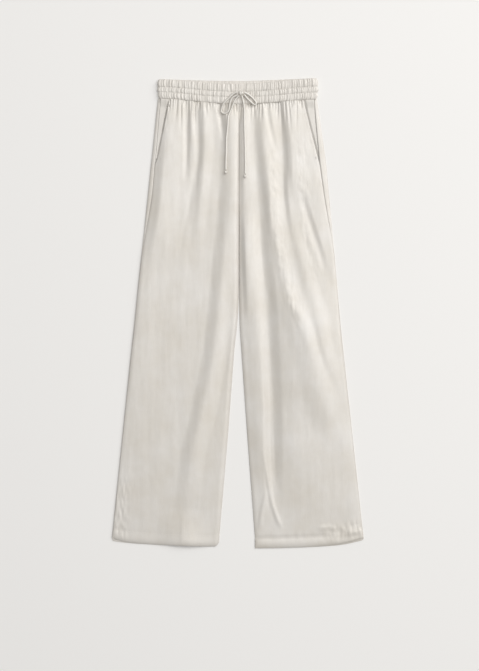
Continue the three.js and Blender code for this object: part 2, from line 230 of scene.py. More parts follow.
@dataclass(frozen=True)
class Fold:
    """A soft ridge, or a trough where its height is below 0, along a path.

    Attributes:
        height: how far it stands up from the cloth round it.
        left: its reach on the left, walking the path with the waist behind.
        right: its reach on the right.
        fade_in: the part of the path over which it comes.
        fade_out: the part of the path over which it goes.
        path: points of its crest or floor.
    """

    height: float
    left: float
    right: float
    fade_in: float
    fade_out: float
    path: Sequence[tuple[float, float]]

    STEPS = 8

    def nearness(self, x: Array, y: Array) -> tuple[Array, Array, Array]:
        """Find how points lie to the path.

        Args:
            x: the points' x.
            y: the points' y.

        Returns:
            Each point's distance, which side it lies on, and its place along the path.
        """
        line = smooth_path(self.path, self.STEPS)
        nearest = np.full(x.shape, np.inf)
        hand = np.ones(x.shape)
        along = np.zeros(x.shape)
        for step, (start, end) in enumerate(zip(line[:-1], line[1:])):
            way = end - start
            part = ((x - start[0]) * way[0] + (y - start[1]) * way[1]) / (way @ way)
            part = np.clip(part, 0.0, 1.0)
            off_x = x - start[0] - part * way[0]
            off_y = y - start[1] - part * way[1]
            distance = np.hypot(off_x, off_y)
            closer = distance < nearest
            nearest = np.where(closer, distance, nearest)
            hand = np.where(closer, np.sign(way[0] * off_y - way[1] * off_x), hand)
            along = np.where(closer, (step + part) / (len(line) - 1), along)
        return nearest, hand, along

    def height_at(self, x: Array, y: Array) -> Array:
        """Give the fold's height at points.

        Args:
            x: the points' x.
            y: the points' y.

        Returns:
            The heights.
        """
        nearest, hand, along = self.nearness(x, y)
        reach = np.where(hand < 0, self.left, self.right)
        comes = smooth(along / self.fade_in) if self.fade_in else 1.0
        goes = smooth((1 - along) / self.fade_out) if self.fade_out else 1.0
        return self.height * comes * goes * smooth(1 - nearest / reach)


def cloth_noise(x: Array, y: Array, across: float, along: float, seed: float) -> Array:
    """Give soft uneven relief, drawn out along the cloth.

    Args:
        x: the points' x.
        y: the points' y.
        across: the size of its lumps across.
        along: the size of its lumps along.
        seed: a place in the noise, so that each use differs.

    Returns:
        Values from about -1 to 1.
    """
    places = zip((x / across).ravel(), (y / along).ravel())
    return np.array([noise.noise(Vector((u, v, seed))) for u, v in places]).reshape(x.shape)


class Lumps(NamedTuple):
    """One layer of soft relief: its depth, the size of its lumps and its place in the noise."""

    depth: float
    across: float
    along: float
    seed: float


def uneven(x: Array, y: Array, layers: Sequence[Lumps]) -> Array:
    """Add up layers of soft relief.

    Args:
        x: the points' x.
        y: the points' y.
        layers: the layers.

    Returns:
        The heights.
    """
    return sum(lumps.depth * cloth_noise(x, y, *lumps[1:]) for lumps in layers)


@dataclass(frozen=True)
class SmallPleats:
    """Short pleats that fan out from a gathered seam.

    Attributes:
        pitch: the distance between them.
        depth: their greatest depth.
        length: their shortest and longest reach.
        width: half the width of one at the seam.
        seed: picks which are long and deep.
    """

    pitch: float
    depth: float
    length: tuple[float, float]
    width: float
    seed: int

    def height_at(self, x: Array, below: Array, span: tuple[float, float]) -> Array:
        """Give the pleats' relief.

        Args:
            x: the points' x.
            below: how far each point lies below the seam.
            span: the first and last x that have pleats.

        Returns:
            The heights, below 0 in a pleat.
        """
        rng = random.Random(self.seed)
        relief = np.zeros(x.shape)
        count = int((span[1] - span[0]) / self.pitch)
        middle = (span[0] + span[1]) / 2
        for index in range(count):
            place = span[0] + (index + rng.uniform(0.25, 0.75)) * self.pitch
            reach = mix(*self.length, rng.random() ** 2.2)
            depth = self.depth * rng.uniform(0.35, 1.0)
            lean = rng.uniform(-0.05, 0.05) + 0.08 * (place - middle) / (span[1] - span[0])
            width = self.width * (1 + np.clip(below, 0.0, None) / reach)
            offset = np.abs(x - place - lean * below) / width
            relief -= depth * smooth(1 - offset) * smooth(1 - below / reach)
        return relief


LEFT_SECTIONS = (
    Section(y=485, side=-181, wrap=5.5, facing=20, inner=3),
    Section(y=439, side=-186, wrap=6.4, facing=15, inner=3),
    Section(y=351, side=-195, wrap=8.2, facing=4, inner=3),
    Section(y=335, side=-197, wrap=8.4, inner=3),
    Section(y=257, side=-205, wrap=8.9, inner=3),
    Section(y=133, side=-218, inner=2.7),
    Section(y=30, side=-229, inner=2),
    Section(y=-30, side=-235, inner=-1.5),
    Section(y=-83, side=-241, inner=-7.5),
    Section(y=-276, side=-261, inner=-22),
    Section(y=-510, side=-285, inner=-42),
)
RIGHT_SECTIONS = (
    Section(y=485, side=179, wrap=5.7, facing=24, inner=3),
    Section(y=439, side=186.5, wrap=9.8, facing=17, inner=3),
    Section(y=351, side=199, wrap=14.6, facing=2, inner=3),
    Section(y=335, side=201, wrap=14.6, inner=3),
    Section(y=257, side=208, wrap=10.3, inner=3),
    Section(y=133, side=219, inner=3.1),
    Section(y=30, side=228, inner=3.3),
    Section(y=-30, side=233.5, inner=4.5),
    Section(y=-83, side=239, inner=8),
    Section(y=-276, side=260, inner=21.5),
    Section(y=-510, side=285, inner=39),
)
LEFT_HEM = (
    HemPoint(-285, -510),
    HemPoint(-258, -518),
    HemPoint(-193, -524),
    HemPoint(-128, -527),
    HemPoint(-53, -529),
    HemPoint(-48, -527),
    HemPoint(-42.5, -520),
)
RIGHT_HEM = (
    HemPoint(40, -533),
    HemPoint(106, -532),
    HemPoint(177, -529),
    HemPoint(228, -524),
    HemPoint(285, -510),
)
CROWN = Table("y", (
    CrownRow(y=485, middle=6.6, inner=6.4, inner_edge=6.2, outer=5.6, outer_edge=4.3),
    CrownRow(y=430, middle=5.8, inner=5, inner_edge=4.7, outer=5, outer_edge=3.8),
    CrownRow(y=350, middle=5.6, inner=3.8, inner_edge=3.5, outer=4.4, outer_edge=3.2),
    CrownRow(y=290, middle=5.6, inner=3.3, inner_edge=3.0, outer=4.6, outer_edge=3.5),
    CrownRow(y=245, middle=5.6, inner=3.1, inner_edge=2.7, outer=4.7, outer_edge=3.6),
    CrownRow(y=205, middle=5.6, inner=3, inner_edge=1.1, outer=4.7, outer_edge=3.6),
    CrownRow(y=0, middle=5.2, inner=2.8, inner_edge=1.0, outer=4.4, outer_edge=3.6),
    CrownRow(y=-400, middle=4.4, inner=2.6, inner_edge=1.0, outer=3.9, outer_edge=3.3),
    CrownRow(y=-533, middle=3.6, inner=2.4, inner_edge=1.0, outer=3.2, outer_edge=2.9),
))

LEFT_FOLDS = {
    "hip swell": Fold(3.0, 22, 60, 0, 0.35, (
        (-161, 485), (-165, 371), (-172, 264), (-184, 178), (-197, 100))),
    "outer swell": Fold(0.9, 20, 70, 0.2, 0.3, (
        (-187, 330), (-201, 200), (-216, 60), (-238, -150), (-263, -400))),
    "outer pleat": Fold(-2.0, 9, 10, 0, 0.5, ((-118, 485), (-116, 371), (-120, 291))),
    "small ridge": Fold(1.4, 9, 10, 0, 0.6, ((-106, 485), (-104, 416), (-102, 360))),
    "bent pleat": Fold(-1.2, 11, 12, 0, 0.5, (
        (-92, 485), (-91, 416), (-92, 348), (-109, 244), (-140, 108))),
    "broad ridge": Fold(2.3, 15, 22, 0, 0.5, (
        (-79, 485), (-75, 416), (-75, 355), (-88, 219), (-99, 137))),
    "deep pleat": Fold(-2.6, 8, 11, 0, 0.6, ((-44, 480), (-38, 439), (-31, 380))),
    "long fold": Fold(3.9, 29, 34, 0.06, 0.25, (
        (-14, 478), (-14, 394), (-15, 303), (-22, 212), (-28, 150), (-49, -60), (-80, -224),
        (-101, -310), (-112, -394), (-118, -496))),
    "inner rim": Fold(2.0, 26, 26, 0.2, 0.4, ((0, 330), (-1, 150), (-7, -83), (-20, -250))),
    "hem lift": Fold(5.5, 78, 62, 0.9, 0, ((-112, -440), (-114, -490), (-116, -530))),
    "hem crease": Fold(0.4, 6, 34, 0.5, 0, ((-127, -450), (-126, -530))),
}
RIGHT_FOLDS = {
    "seam ridge": Fold(1.3, 11, 18, 0, 0.5, ((13, 480), (13, 371), (15, 257), (17, 200))),
    "crotch ridge": Fold(3.7, 11, 40, 0.35, 0.45, ((15, 235), (17, 167), (20, 76), (26, -30))),
    "inner ridge": Fold(2.1, 30, 20, 0.3, 0.4, (
        (24, 190), (34, 76), (42, -15), (50, -106), (56, -197), (57, -287), (69, -378),
        (80, -446), (98, -500))),
    "inner trough": Fold(-3.2, 21, 26, 0, 0.15, (
        (38, 478), (40, 371), (49, 257), (53, 167), (61, 76), (69, -15), (73, -106), (77, -197),
        (78, -287), (79, -378), (83, -480))),
    "ridge foot": Fold(3.0, 84, 120, 0.35, 0.3, (
        (102, 130), (116, 42), (148, -49), (176, -174), (210, -262))),
    "knee swell": Fold(4.4, 72, 210, 0.25, 0.35, (
        (122, 70), (131, -150), (140, -300), (150, -510))),
    "great ridge": Fold(2.8, 48, 38, 0.05, 0.25, (
        (44, 480), (59, 366), (79, 212), (114, 42), (143, -15), (171, -106), (194, -197),
        (217, -262), (243, -312))),
    "ridge lip": Fold(1.2, 17, 20, 0.25, 0.45, (
        (44, 480), (59, 366), (79, 212), (114, 42), (143, -15), (171, -106), (194, -197))),
    "slant pleat": Fold(-2.0, 9, 10, 0, 0.7, ((64, 480), (75, 412), (92, 345))),
    "outer trough": Fold(-2.7, 24, 13, 0, 0.4, (
        (90, 480), (98, 412), (103, 348), (102, 298), (104, 257), (111, 200), (119, 150))),
    "outer ridge": Fold(2.6, 15, 44, 0, 0.4, (
        (109, 483), (119, 412), (124, 348), (126, 298), (130, 240))),
    "hip diagonal": Fold(2.0, 26, 24, 0.25, 0.5, (
        (118, 262), (134, 170), (147, 120), (161, 66), (180, 10), (200, -40), (222, -110))),
    "hip trough": Fold(-1.8, 12, 13, 0.3, 0.4, (
        (142, 290), (150, 250), (162, 210), (176, 167), (192, 117), (214, 52))),
    "knee bank": Fold(2.0, 16, 24, 0.3, 0.4, (
        (168, 30), (184, -26), (195, -72), (211, -124), (238, -185))),
    "hem ridge": Fold(1.3, 8, 7, 0.4, 0.15, (
        (57, -300), (66, -350), (76, -419), (86, -455), (99, -488))),
    "hem vee": Fold(1.0, 8, 9, 0.4, 0.3, ((66, -395), (57, -440), (48, -492))),
    "hem roll": Fold(1.2, 9, 9, 0.4, 0.1, ((190, -504), (232, -501), (270, -492))),
    "corner roll": Fold(2.4, 13, 15, 0.4, 0.2, ((240, -500), (262, -496), (282, -490))),
    "corner lift": Fold(2.0, 16, 16, 0.5, 0, ((200, -524), (255, -519), (284, -509))),
    "corner pucker": Fold(1.0, 7, 7, 0.3, 0.3, ((176, -488), (206, -485), (226, -491))),
}

LEFT_CRINKLES = {
    "hem corner": Fold(1.0, 40, 40, 0.4, 0, ((-262, -330), (-270, -430), (-276, -505))),
    "pocket lip": Fold(0.4, 12, 14, 0.1, 0.3, ((-160, 470), (-172, 390), (-184, 330))),
}
RIGHT_CRINKLES = {
    "great ridge bank": Fold(0.75, 12, 34, 0.2, 0.3, ((68, 400), (84, 212), (114, 42), (149, -49))),
    "hip bank": Fold(0.5, 14, 40, 0.2, 0.4, ((128, 440), (142, 300), (160, 130), (190, 30))),
    "pocket lip": Fold(0.5, 16, 14, 0.1, 0.3, ((160, 470), (172, 390), (186, 320), (196, 230))),
    "hem corner": Fold(1.0, 36, 36, 0.4, 0, ((180, -500), (230, -500), (276, -490))),
}


@dataclass(frozen=True)
class LegPlan:
    """The cut and lie of one leg, which its front, back and facing share.

    Attributes:
        side: which leg it is.
        sections: its levels.
        hem: its hem's curve.
        folds: the folds of its front.
        crinkles: where its front is crinkled, and how deeply.
        inner_roll: how far in from the inner edge the front reaches its full height.
    """

    side: Side
    sections: Table
    hem: Table
    folds: dict[str, Fold]
    crinkles: dict[str, Fold]
    inner_roll: float

    SEAM_GAP = 0.3
    LEAST_WRAP = 0.3

    def inner_edge(self, y: Array) -> Array:
        """Give the x of the inner edge at levels y."""
        return self.sections.at("inner", y) + self.side.value * self.SEAM_GAP / 2

    def side_edge(self, y: Array) -> Array:
        """Give the x of the outline's side at levels y."""
        return self.sections.at("side", y)

    def side_seam(self, y: Array) -> Array:
        """Give the x of the side seam, where the back that came round ends."""
        wrap = np.maximum(self.sections.at("wrap", y), self.LEAST_WRAP)
        return self.side_edge(y) - self.side.value * wrap

    def front_edge(self, y: Array) -> Array:
        """Give the x of the front's outer edge: the pocket's edge, then the side seam."""
        shown = np.maximum(self.sections.at("facing", y), 0.0)
        return self.side_seam(y) - self.side.value * shown

    def level(self, x: Array, down: Array, seam_y: Array) -> Array:
        """Give the y of rows, bent to the waist seam above and to the hem below.

        Args:
            x: about where the points lie across.
            down: how far down the leg each row is, from 0 to 1.
            seam_y: the waist seam's y over each point.

        Returns:
            The y of each point.
        """
        hem = self.hem.at("y", x) - HEM_Y
        straight = mix(WAIST_SEAM_Y, HEM_Y, down)
        return straight + (seam_y - WAIST_SEAM_Y) * (1 - down) ** 3 + hem * down**6


LEG_PLANS = (
    LegPlan(
        Side.LEFT, Table("y", LEFT_SECTIONS), Table("x", LEFT_HEM), LEFT_FOLDS, LEFT_CRINKLES,
        inner_roll=12),
    LegPlan(
        Side.RIGHT, Table("y", RIGHT_SECTIONS), Table("x", RIGHT_HEM), RIGHT_FOLDS, RIGHT_CRINKLES,
        inner_roll=24),
)


class NodeMaker:
    """Adds shader nodes to a tree and feeds their inputs."""

    def __init__(self, tree: bpy.types.NodeTree) -> None:
        """Work on one tree."""
        self.tree = tree

    def feed(self, node: bpy.types.Node, inputs: dict[str | int, object]) -> None:
        """Set a node's inputs, or link those that another node gives.

        Args:
            node: the node.
            inputs: each input's value, or the socket that it comes from.
        """
        for label, value in inputs.items():
            if isinstance(value, bpy.types.NodeSocket):
                self.tree.links.new(value, node.inputs[label])
            else:
                node.inputs[label].default_value = value

    def add(
        self, kind: str, inputs: dict[str | int, object], **settings: object
    ) -> bpy.types.bpy_prop_collection:
        """Add a node.

        Args:
            kind: the node's type.
            inputs: each input's value, or the socket that it comes from.
            **settings: the node's own settings.

        Returns:
            The node's outputs.
        """
        node = self.tree.nodes.new(kind)
        for name, value in settings.items():
            setattr(node, name, value)
        self.feed(node, inputs)
        return node.outputs


class Effects:
    """Shader node groups that more than one finish uses, each built once."""

    @staticmethod
    def group(name: str, inputs: dict[str, float], output: str) -> tuple[bpy.types.NodeTree, bool]:
        """Find or start a node group with one float output.

        Args:
            name: the group's name.
            inputs: its inputs and their usual values.
            output: the name of its output.

        Returns:
            The group, and True if it is new and still empty.
        """
        found = bpy.data.node_groups.get(name)
        if found:
            return found, False
        tree = bpy.data.node_groups.new(name, "ShaderNodeTree")
        tree.interface.new_socket("Vector", in_out="INPUT", socket_type="NodeSocketVector")
        for label, value in inputs.items():
            socket = tree.interface.new_socket(label, in_out="INPUT", socket_type="NodeSocketFloat")
            socket.default_value = value
        tree.interface.new_socket(output, in_out="OUTPUT", socket_type="NodeSocketFloat")
        return tree, True

    @classmethod
    def weave(cls) -> bpy.types.NodeTree:
        """Build the satin weave: long floats side by side, broken at uneven places.

        Returns:
            A group from a vector and a pitch in metres to a height from 0 to 1.
        """
        tree, is_new = cls.group("satin_weave", {"Pitch": 0.0004}, "Height")
        if is_new:
            make = NodeMaker(tree)
            given = make.add("NodeGroupInput", {})
            finer = make.add("ShaderNodeMath", {0: 1.0, 1: given["Pitch"]}, operation="DIVIDE")
            scaled = make.add(
                "ShaderNodeVectorMath", {0: given["Vector"], "Scale": finer[0]}, operation="SCALE")
            floats = make.add("ShaderNodeTexBrick", {
                "Vector": scaled[0],
                "Color1": (1, 1, 1, 1),
                "Color2": (0.8, 0.8, 0.8, 1),
                "Mortar": (0, 0, 0, 1),
                "Scale": 1.0,
                "Mortar Size": 0.12,
                "Mortar Smooth": 1.0,
                "Brick Width": 5.0,
                "Row Height": 1.0,
            }, offset=0.4, offset_frequency=2)
            make.add("NodeGroupOutput", {"Height": floats["Color"]})
        return tree

    @classmethod
    def mottle(cls) -> bpy.types.NodeTree:
        """Build soft clouds of two sizes.

        Returns:
            A group from a vector and a size in metres to a mask from 0 to 1.
        """
        tree, is_new = cls.group("cloth_mottle", {"Size": 0.05, "Detail": 4.0}, "Mask")
        if is_new:
            make = NodeMaker(tree)
            given = make.add("NodeGroupInput", {})
            finer = make.add("ShaderNodeMath", {0: 1.0, 1: given["Size"]}, operation="DIVIDE")
            clouds = make.add("ShaderNodeTexNoise", {
                "Vector": given["Vector"],
                "Scale": finer[0],
                "Detail": given["Detail"],
                "Roughness": 0.6,
            })
            spread = make.add(
                "ShaderNodeMapRange", {"Value": clouds["Fac"], "From Min": 0.3, "From Max": 0.7})
            make.add("NodeGroupOutput", {"Mask": spread["Result"]})
        return tree


@dataclass(frozen=True)
class Satin:
    """A satin finish: a fine weave, faint clouds of colour and small crinkles.

    Attributes:
        name: the finish's name.
        slot: not used.
        light: the colour where the clouds are light.
        dark: the colour where the clouds are dark.
        coordinates: what its weave follows, the cloth or the object's own space.
        roughness: the lowest and highest roughness.
        sheen: how much sheen it has.
        lustre: how much of its light it reflects as a sheen in its own colour.
        weave_relief: the weave's depth in metres.
        crinkle_relief: the crinkles' depth in metres.
        grain_turn: the turn of the weave from the piece's own Y, in degrees.
    """

    name: str
    slot: str
    light: tuple[float, float, float]
    dark: tuple[float, float, float]
    coordinates: Coordinates = Coordinates.CLOTH
    roughness: tuple[float, float] = (0.34, 0.46)
    sheen: float = 0.1
    lustre: float = 0.16
    weave_relief: float = 0.00004
    crinkle_relief: float = 0.00009
    grain_turn: float = 0.0

    WEAVE_PITCH = 0.0005
    CLOUD_SIZE = 0.11
    CLOUD_DETAIL = 5.0
    CRINKLE_SIZE = 0.012
    CRINKLE_DETAIL = 3.0
    CRINKLE_STRETCH = 0.2
    SHEEN_ROUGHNESS = 0.4

    def material(self) -> bpy.types.Material:
        """Find or build the finish's material.

        Returns:
            The material, whose pattern is in metres.
        """
        name = f"{self.name}_satin"
        found = bpy.data.materials.get(name)
        if found:
            return found
        material = bpy.data.materials.new(name)
        material.use_nodes = True
        make = NodeMaker(material.node_tree)
        place = self.place(make)
        turn = (0, 0, math.radians(90 + self.grain_turn))
        turned = make.add("ShaderNodeMapping", {"Vector": place, "Rotation": turn})
        weave = make.add(
            "ShaderNodeGroup", {"Vector": turned[0], "Pitch": self.WEAVE_PITCH},
            node_tree=Effects.weave())
        stretch = (1, self.CRINKLE_STRETCH, 1)
        drawn_out = make.add("ShaderNodeMapping", {"Vector": place, "Scale": stretch})
        clouds, crinkles = (
            make.add(
                "ShaderNodeGroup", {"Vector": vector, "Size": size, "Detail": detail},
                node_tree=Effects.mottle())
            for vector, size, detail in (
                (place, self.CLOUD_SIZE, self.CLOUD_DETAIL),
                (drawn_out[0], self.CRINKLE_SIZE, self.CRINKLE_DETAIL))
        )
        color = make.add("ShaderNodeMix", {
            "Factor": clouds["Mask"], "A": (*self.dark, 1), "B": (*self.light, 1),
        }, data_type="RGBA")
        gloss = make.add("ShaderNodeMapRange", {
            "Value": crinkles["Mask"], "To Min": self.roughness[0], "To Max": self.roughness[1]})
        rumple = make.add("ShaderNodeBump", {
            "Strength": 1.0, "Distance": self.crinkle_relief, "Height": crinkles["Mask"]})
        threads = make.add("ShaderNodeBump", {
            "Strength": 1.0, "Distance": self.weave_relief, "Height": weave["Height"],
            "Normal": rumple["Normal"]})
        make.feed(material.node_tree.nodes["Principled BSDF"], {
            "Base Color": color["Result"],
            "Metallic": self.lustre,
            "Roughness": gloss["Result"],
            "Sheen Weight": self.sheen,
            "Sheen Roughness": self.SHEEN_ROUGHNESS,
            "Normal": threads["Normal"],
        })
        return material

    def place(self, make: NodeMaker) -> bpy.types.NodeSocket:
        """Add the node that says where on the piece a point is.

        Args:
            make: adds nodes to the material.

        Returns:
            The socket with the place, in metres.
        """
        if self.coordinates is Coordinates.OBJECT:
            return make.add("ShaderNodeTexCoord", {})["Object"]
        return make.add("ShaderNodeUVMap", {}, uv_map=Coordinates.CLOTH.value)["UV"]


SATIN = Satin("leg", "satin", light=(0.735, 0.707, 0.668), dark=(0.655, 0.613, 0.548))
FACING_SATIN = Satin("facing", "facing", light=(0.72, 0.69, 0.645), dark=(0.665, 0.63, 0.575))
# The waistband's colours are the satin's own, darkened a little as painted shade for its tight
# gathers.
BAND_SATIN_WITH_PAINTED_SHADE = Satin(
    "waistband", "waistband", light=(0.725, 0.69, 0.64), dark=(0.665, 0.625, 0.57), lustre=0.1)
# The drawstring's colours are its own satin colour, made lighter as a painted highlight on the
# round cord.
CORD_SATIN_WITH_PAINTED_HIGHLIGHT = Satin("drawstring", "drawstring", light=(0.80, 0.77, 0.72), dark=(0.74, 0.705, 0.65),
                   coordinates=Coordinates.OBJECT)
THREAD = Satin("thread", "satin", light=(0.80, 0.77, 0.72), dark=(0.74, 0.705, 0.65),
               coordinates=Coordinates.OBJECT, weave_relief=0.0001, grain_turn=45)


def add_object(name: str, data: bpy.types.ID) -> bpy.types.Object:
    """Put a new object in the scene.

    Args:
        name: its name.
        data: its mesh, curve, camera or light.

    Returns:
        The new object.
    """
    made = bpy.data.objects.new(name, data)
    bpy.context.scene.collection.objects.link(made)
    return made


def put_in_order(mesh: bmesh.types.BMesh) -> None:
    """Put a mesh's edges and faces in the order of their vertices, the same in every run.

    Blender's create_uvsphere and spin leave them in an order that changes from run to run.

    Args:
        mesh: the mesh.
    """
    mesh.verts.index_update()
    for parts in (mesh.edges, mesh.faces):
        ordered = sorted(parts, key=lambda part: sorted(vertex.index for vertex in part.verts))
        rank = {part: place for place, part in enumerate(ordered)}
        parts.sort(key=rank.get)
        parts.index_update()


def lay_cloth(mesh: bmesh.types.BMesh, places: Sequence[Sequence[float]]) -> None:
    """Keep in a mesh where each vertex lies on the flat cloth, for its weave.

    Args:
        mesh: the mesh.
        places: each vertex's place in metres.
    """
    mesh.verts.index_update()
    layer = mesh.loops.layers.uv.new(Coordinates.CLOTH.value)
    for face in mesh.faces:
        for loop in face.loops:
            loop[layer].uv = places[loop.vert.index]


def add_piece(
    name: str, mesh: bmesh.types.BMesh, finish: Satin, nodes: Sequence[str] = ()
) -> bpy.types.Object:
    """Make a piece of the part from a finished mesh, and fix it to the body.

    Args:
        name: the piece's name.
        mesh: its mesh, in metres, which is freed.
        finish: its finish.
        nodes: the nodes it stands for.

    Returns:
        The new object.
    """
    data = bpy.data.meshes.new(name)
    mesh.to_mesh(data)
    mesh.free()
    data.shade_smooth()
    data.materials.append(finish.material())
    piece = add_object(name, data)
    dress(piece, nodes)
    return piece


def dress(piece: bpy.types.Object, nodes: Sequence[str]) -> None:
    """Fix a piece to the body and hide the nodes it stands for.

    Args:
        piece: the new piece.
        nodes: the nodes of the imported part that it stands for.
    """
    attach(piece, "root")
    if nodes:
        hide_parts(*nodes)


class ClothGrid:
    """A bmesh grid of cloth, whose vertices are placed by how far across and down they are."""

    def __init__(self, columns: int, rows: int) -> None:
        """Start a grid.

        Args:
            columns: the faces across.
            rows: the faces down.
        """
        self.mesh = bmesh.new()
        bmesh.ops.create_grid(self.mesh, x_segments=columns, y_segments=rows, size=1.0)
        places = np.array([vertex.co[:2] for vertex in self.mesh.verts])
        low, high = places.min(axis=0), places.max(axis=0)
        self.across = (places[:, 0] - low[0]) / (high[0] - low[0])
        self.down = (high[1] - places[:, 1]) / (high[1] - low[1])

    def place(self, points: Array, cloth: Array, faces_up: bool) -> None:
        """Move the vertices into place, and lay the cloth's own coordinates on them.

        Args:
            points: where each vertex goes.
            cloth: where each vertex lies on the uncut cloth.
            faces_up: True if the cloth's outer side is mostly up.
        """
        for vertex, point in zip(self.mesh.verts, points * MM):
            vertex.co = point
        lay_cloth(self.mesh, (cloth * MM).tolist())
        self.mesh.normal_update()
        upward = sum(face.normal.z * face.calc_area() for face in self.mesh.faces)
        if (upward > 0) != faces_up:
            bmesh.ops.reverse_faces(self.mesh, faces=self.mesh.faces)

    def finish(self, name: str, finish: Satin, nodes: Sequence[str]) -> bpy.types.Object:
        """Make the cloth a piece with a thickness.

        Args:
            name: the piece's name.
            finish: its finish.
            nodes: the nodes it stands for.

        Returns:
            The new object.
        """
        piece = add_piece(name, self.mesh, finish, nodes)
        wall = piece.modifiers.new("wall", "SOLIDIFY")
        wall.thickness = CLOTH_THICKNESS * MM
        wall.offset = -1.0
        return piece


@dataclass
class Waistband:
    """The elastic waistband: one flattened ring with three rows of gathers.

    Attributes:
        half_width: half its width at the seams.
        wall: the thickness of each half, with its elastic.
        hollow: the gap between the halves.
        gathers: how many gathers the front has.
        front_columns: mesh columns of the front.
        back_columns: mesh columns of the back.
    """

    half_width: float = 180.0
    wall: float = 2.8
    hollow: float = 1.8
    gathers: int = 58
    front_columns: int = 480
    back_columns: int = 260
    side_columns: int = 8
    outer_rows: int = 40
    top_y: float = 531.8
    bottom_y: float = WAIST_SEAM_Y + LegPlan.SEAM_GAP
    tilt: float = 1.2
    dips: dict[str, float] = field(default_factory=lambda: {
        "front top": 11.5, "back top": 4.5, "front bottom": 11.3, "back bottom": 4.0})
    INNER_ROWS = 12
    SEAM_PARTS = (0.40, 0.67)
    BACK_PRESS = 0.25
    BACK_SINK = 2.8
    INSIDE_SHARE = 0.35
    GATHER_EASE = 1.6
    CLOTH_HEIGHT = 46.0
    CLOTH_TURN = 60.0

    rows: Table = Table("part", (
        BandRow(0.0, puff=-0.6, gather=1.2, side=-0.5),
        BandRow(0.04, puff=-0.2, gather=1.9, side=0.0),
        BandRow(0.20, puff=0.3, gather=2.3, side=1.0),
        BandRow(0.36, puff=0.0, gather=2.1, side=0.4),
        BandRow(0.40, puff=-0.7, gather=1.6, side=0.0),
        BandRow(0.44, puff=0.0, gather=2.0, side=0.6),
        BandRow(0.54, puff=0.3, gather=2.1, side=1.5),
        BandRow(0.63, puff=0.0, gather=2.0, side=0.6),
        BandRow(0.67, puff=-0.7, gather=1.6, side=0.0),
        BandRow(0.71, puff=-0.1, gather=1.9, side=0.2),
        BandRow(0.83, puff=0.1, gather=2.1, side=0.5),
        BandRow(0.94, puff=-0.4, gather=1.9, side=-1.0),
        BandRow(1.0, puff=-1.4, gather=1.4, side=-1.5),
    ))

    @property
    def height(self) -> float:
        """The flattened ring's thickness off the floor."""
        return 2 * self.wall + self.hollow

    def dip(self, x: Array) -> Array:
        """Give how much of the dip an edge has at x, from 0 at the sides to 1."""
        return (1 - np.clip(x / self.half_width, -1, 1) ** 2) ** 2

    def top(self, x: Array, half: str) -> Array:
        """Give the y of the top edge of the "front" or "back" half at x."""
        return self.top_y + self.tilt * x / self.half_width - self.dips[f"{half} top"] * self.dip(x)

    def bottom(self, x: Array, half: str) -> Array:
        """Give the y of the bottom edge of the "front" or "back" half at x."""
        dip = self.dips[f"{half} bottom"] * self.dip(x)
        return self.bottom_y - self.tilt * x / self.half_width - dip

    def wave(self, x: Array, part: Array, seed: float) -> Array:
        """Give the gathers' relief: rounded puffs with sharp grooves between them.

        Args:
            x: where the points lie across.
            part: how far down the band they lie.
            seed: picks the unevenness, so that the halves differ.

        Returns:
            Values from 0 in a groove to 1 on a puff.
        """
        upper, lower = self.SEAM_PARTS
        row = np.where(part < upper, 0.0, np.where(part < lower, 1.0, 2.0))
        drift = 0.9 * cloth_noise(x, part * 40, 13.0, 60.0, seed)
        drift += 0.3 * cloth_noise(x, row * 37, 9.0, 6.0, seed + 5)
        phase = (x / self.half_width + 1) / 2 * self.gathers + drift
        puffs = np.sqrt(np.abs(np.sin(math.pi * phase)))
        finer = np.sqrt(np.abs(np.sin(math.pi * (phase * 1.7 + 0.3 * row + 0.3))))
        share = smooth(0.5 + 1.4 * cloth_noise(x, row * 23, 12.0, 5.0, seed + 7))
        depth = 0.7 + 0.75 * cloth_noise(x, row * 11 + part * 7, 6.0, 4.0, seed + 3)
        return np.clip(mix(puffs, puffs * mix(0.4, 1.0, finer), share) * depth, 0, 1.2)

    def stations(self) -> tuple[Array, Array, Array]:
        """Lay out the points round the ring: front, right side, back and left side.

        Returns:
            Each point's x before it turns, its angle round a side, and which side it turns on.
        """
        reach = self.half_width - self.height / 2
        turn = np.linspace(0, math.pi, self.side_columns + 1)[1:-1]
        front = np.linspace(-reach, reach, self.front_columns)
        back = np.linspace(reach, -reach, self.back_columns)
        x = np.concatenate([front, np.full(turn.shape, reach), back, np.full(turn.shape, -reach)])
        face_up, face_down = np.zeros(front.shape), np.full(back.shape, math.pi)
        angle = np.concatenate([face_up, turn, face_down, turn[::-1]])
        turned = np.ones(turn.shape)
        hand = np.concatenate([face_up, turned, np.zeros(back.shape), -turned])
        return x, angle, hand

    def profile(self) -> tuple[Array, Array]:
        """Lay out the section of the wall, from the top edge down the outside and up the inside.

        Returns:
            Each point's part of the height, and its depth into the wall from 0 to 1.
        """
        outer = np.linspace(0.02, 0.98, self.outer_rows)
        inner = np.linspace(0.97, 0.03, self.INNER_ROWS)
        part = np.concatenate([outer, [0.994, 1.0, 0.994], inner, [0.006, 0.0, 0.006]])
        into = np.array([0.15, 0.5, 0.85])
        depth = np.concatenate([np.zeros(outer.shape), into, np.ones(inner.shape), into[::-1]])
        return part, depth

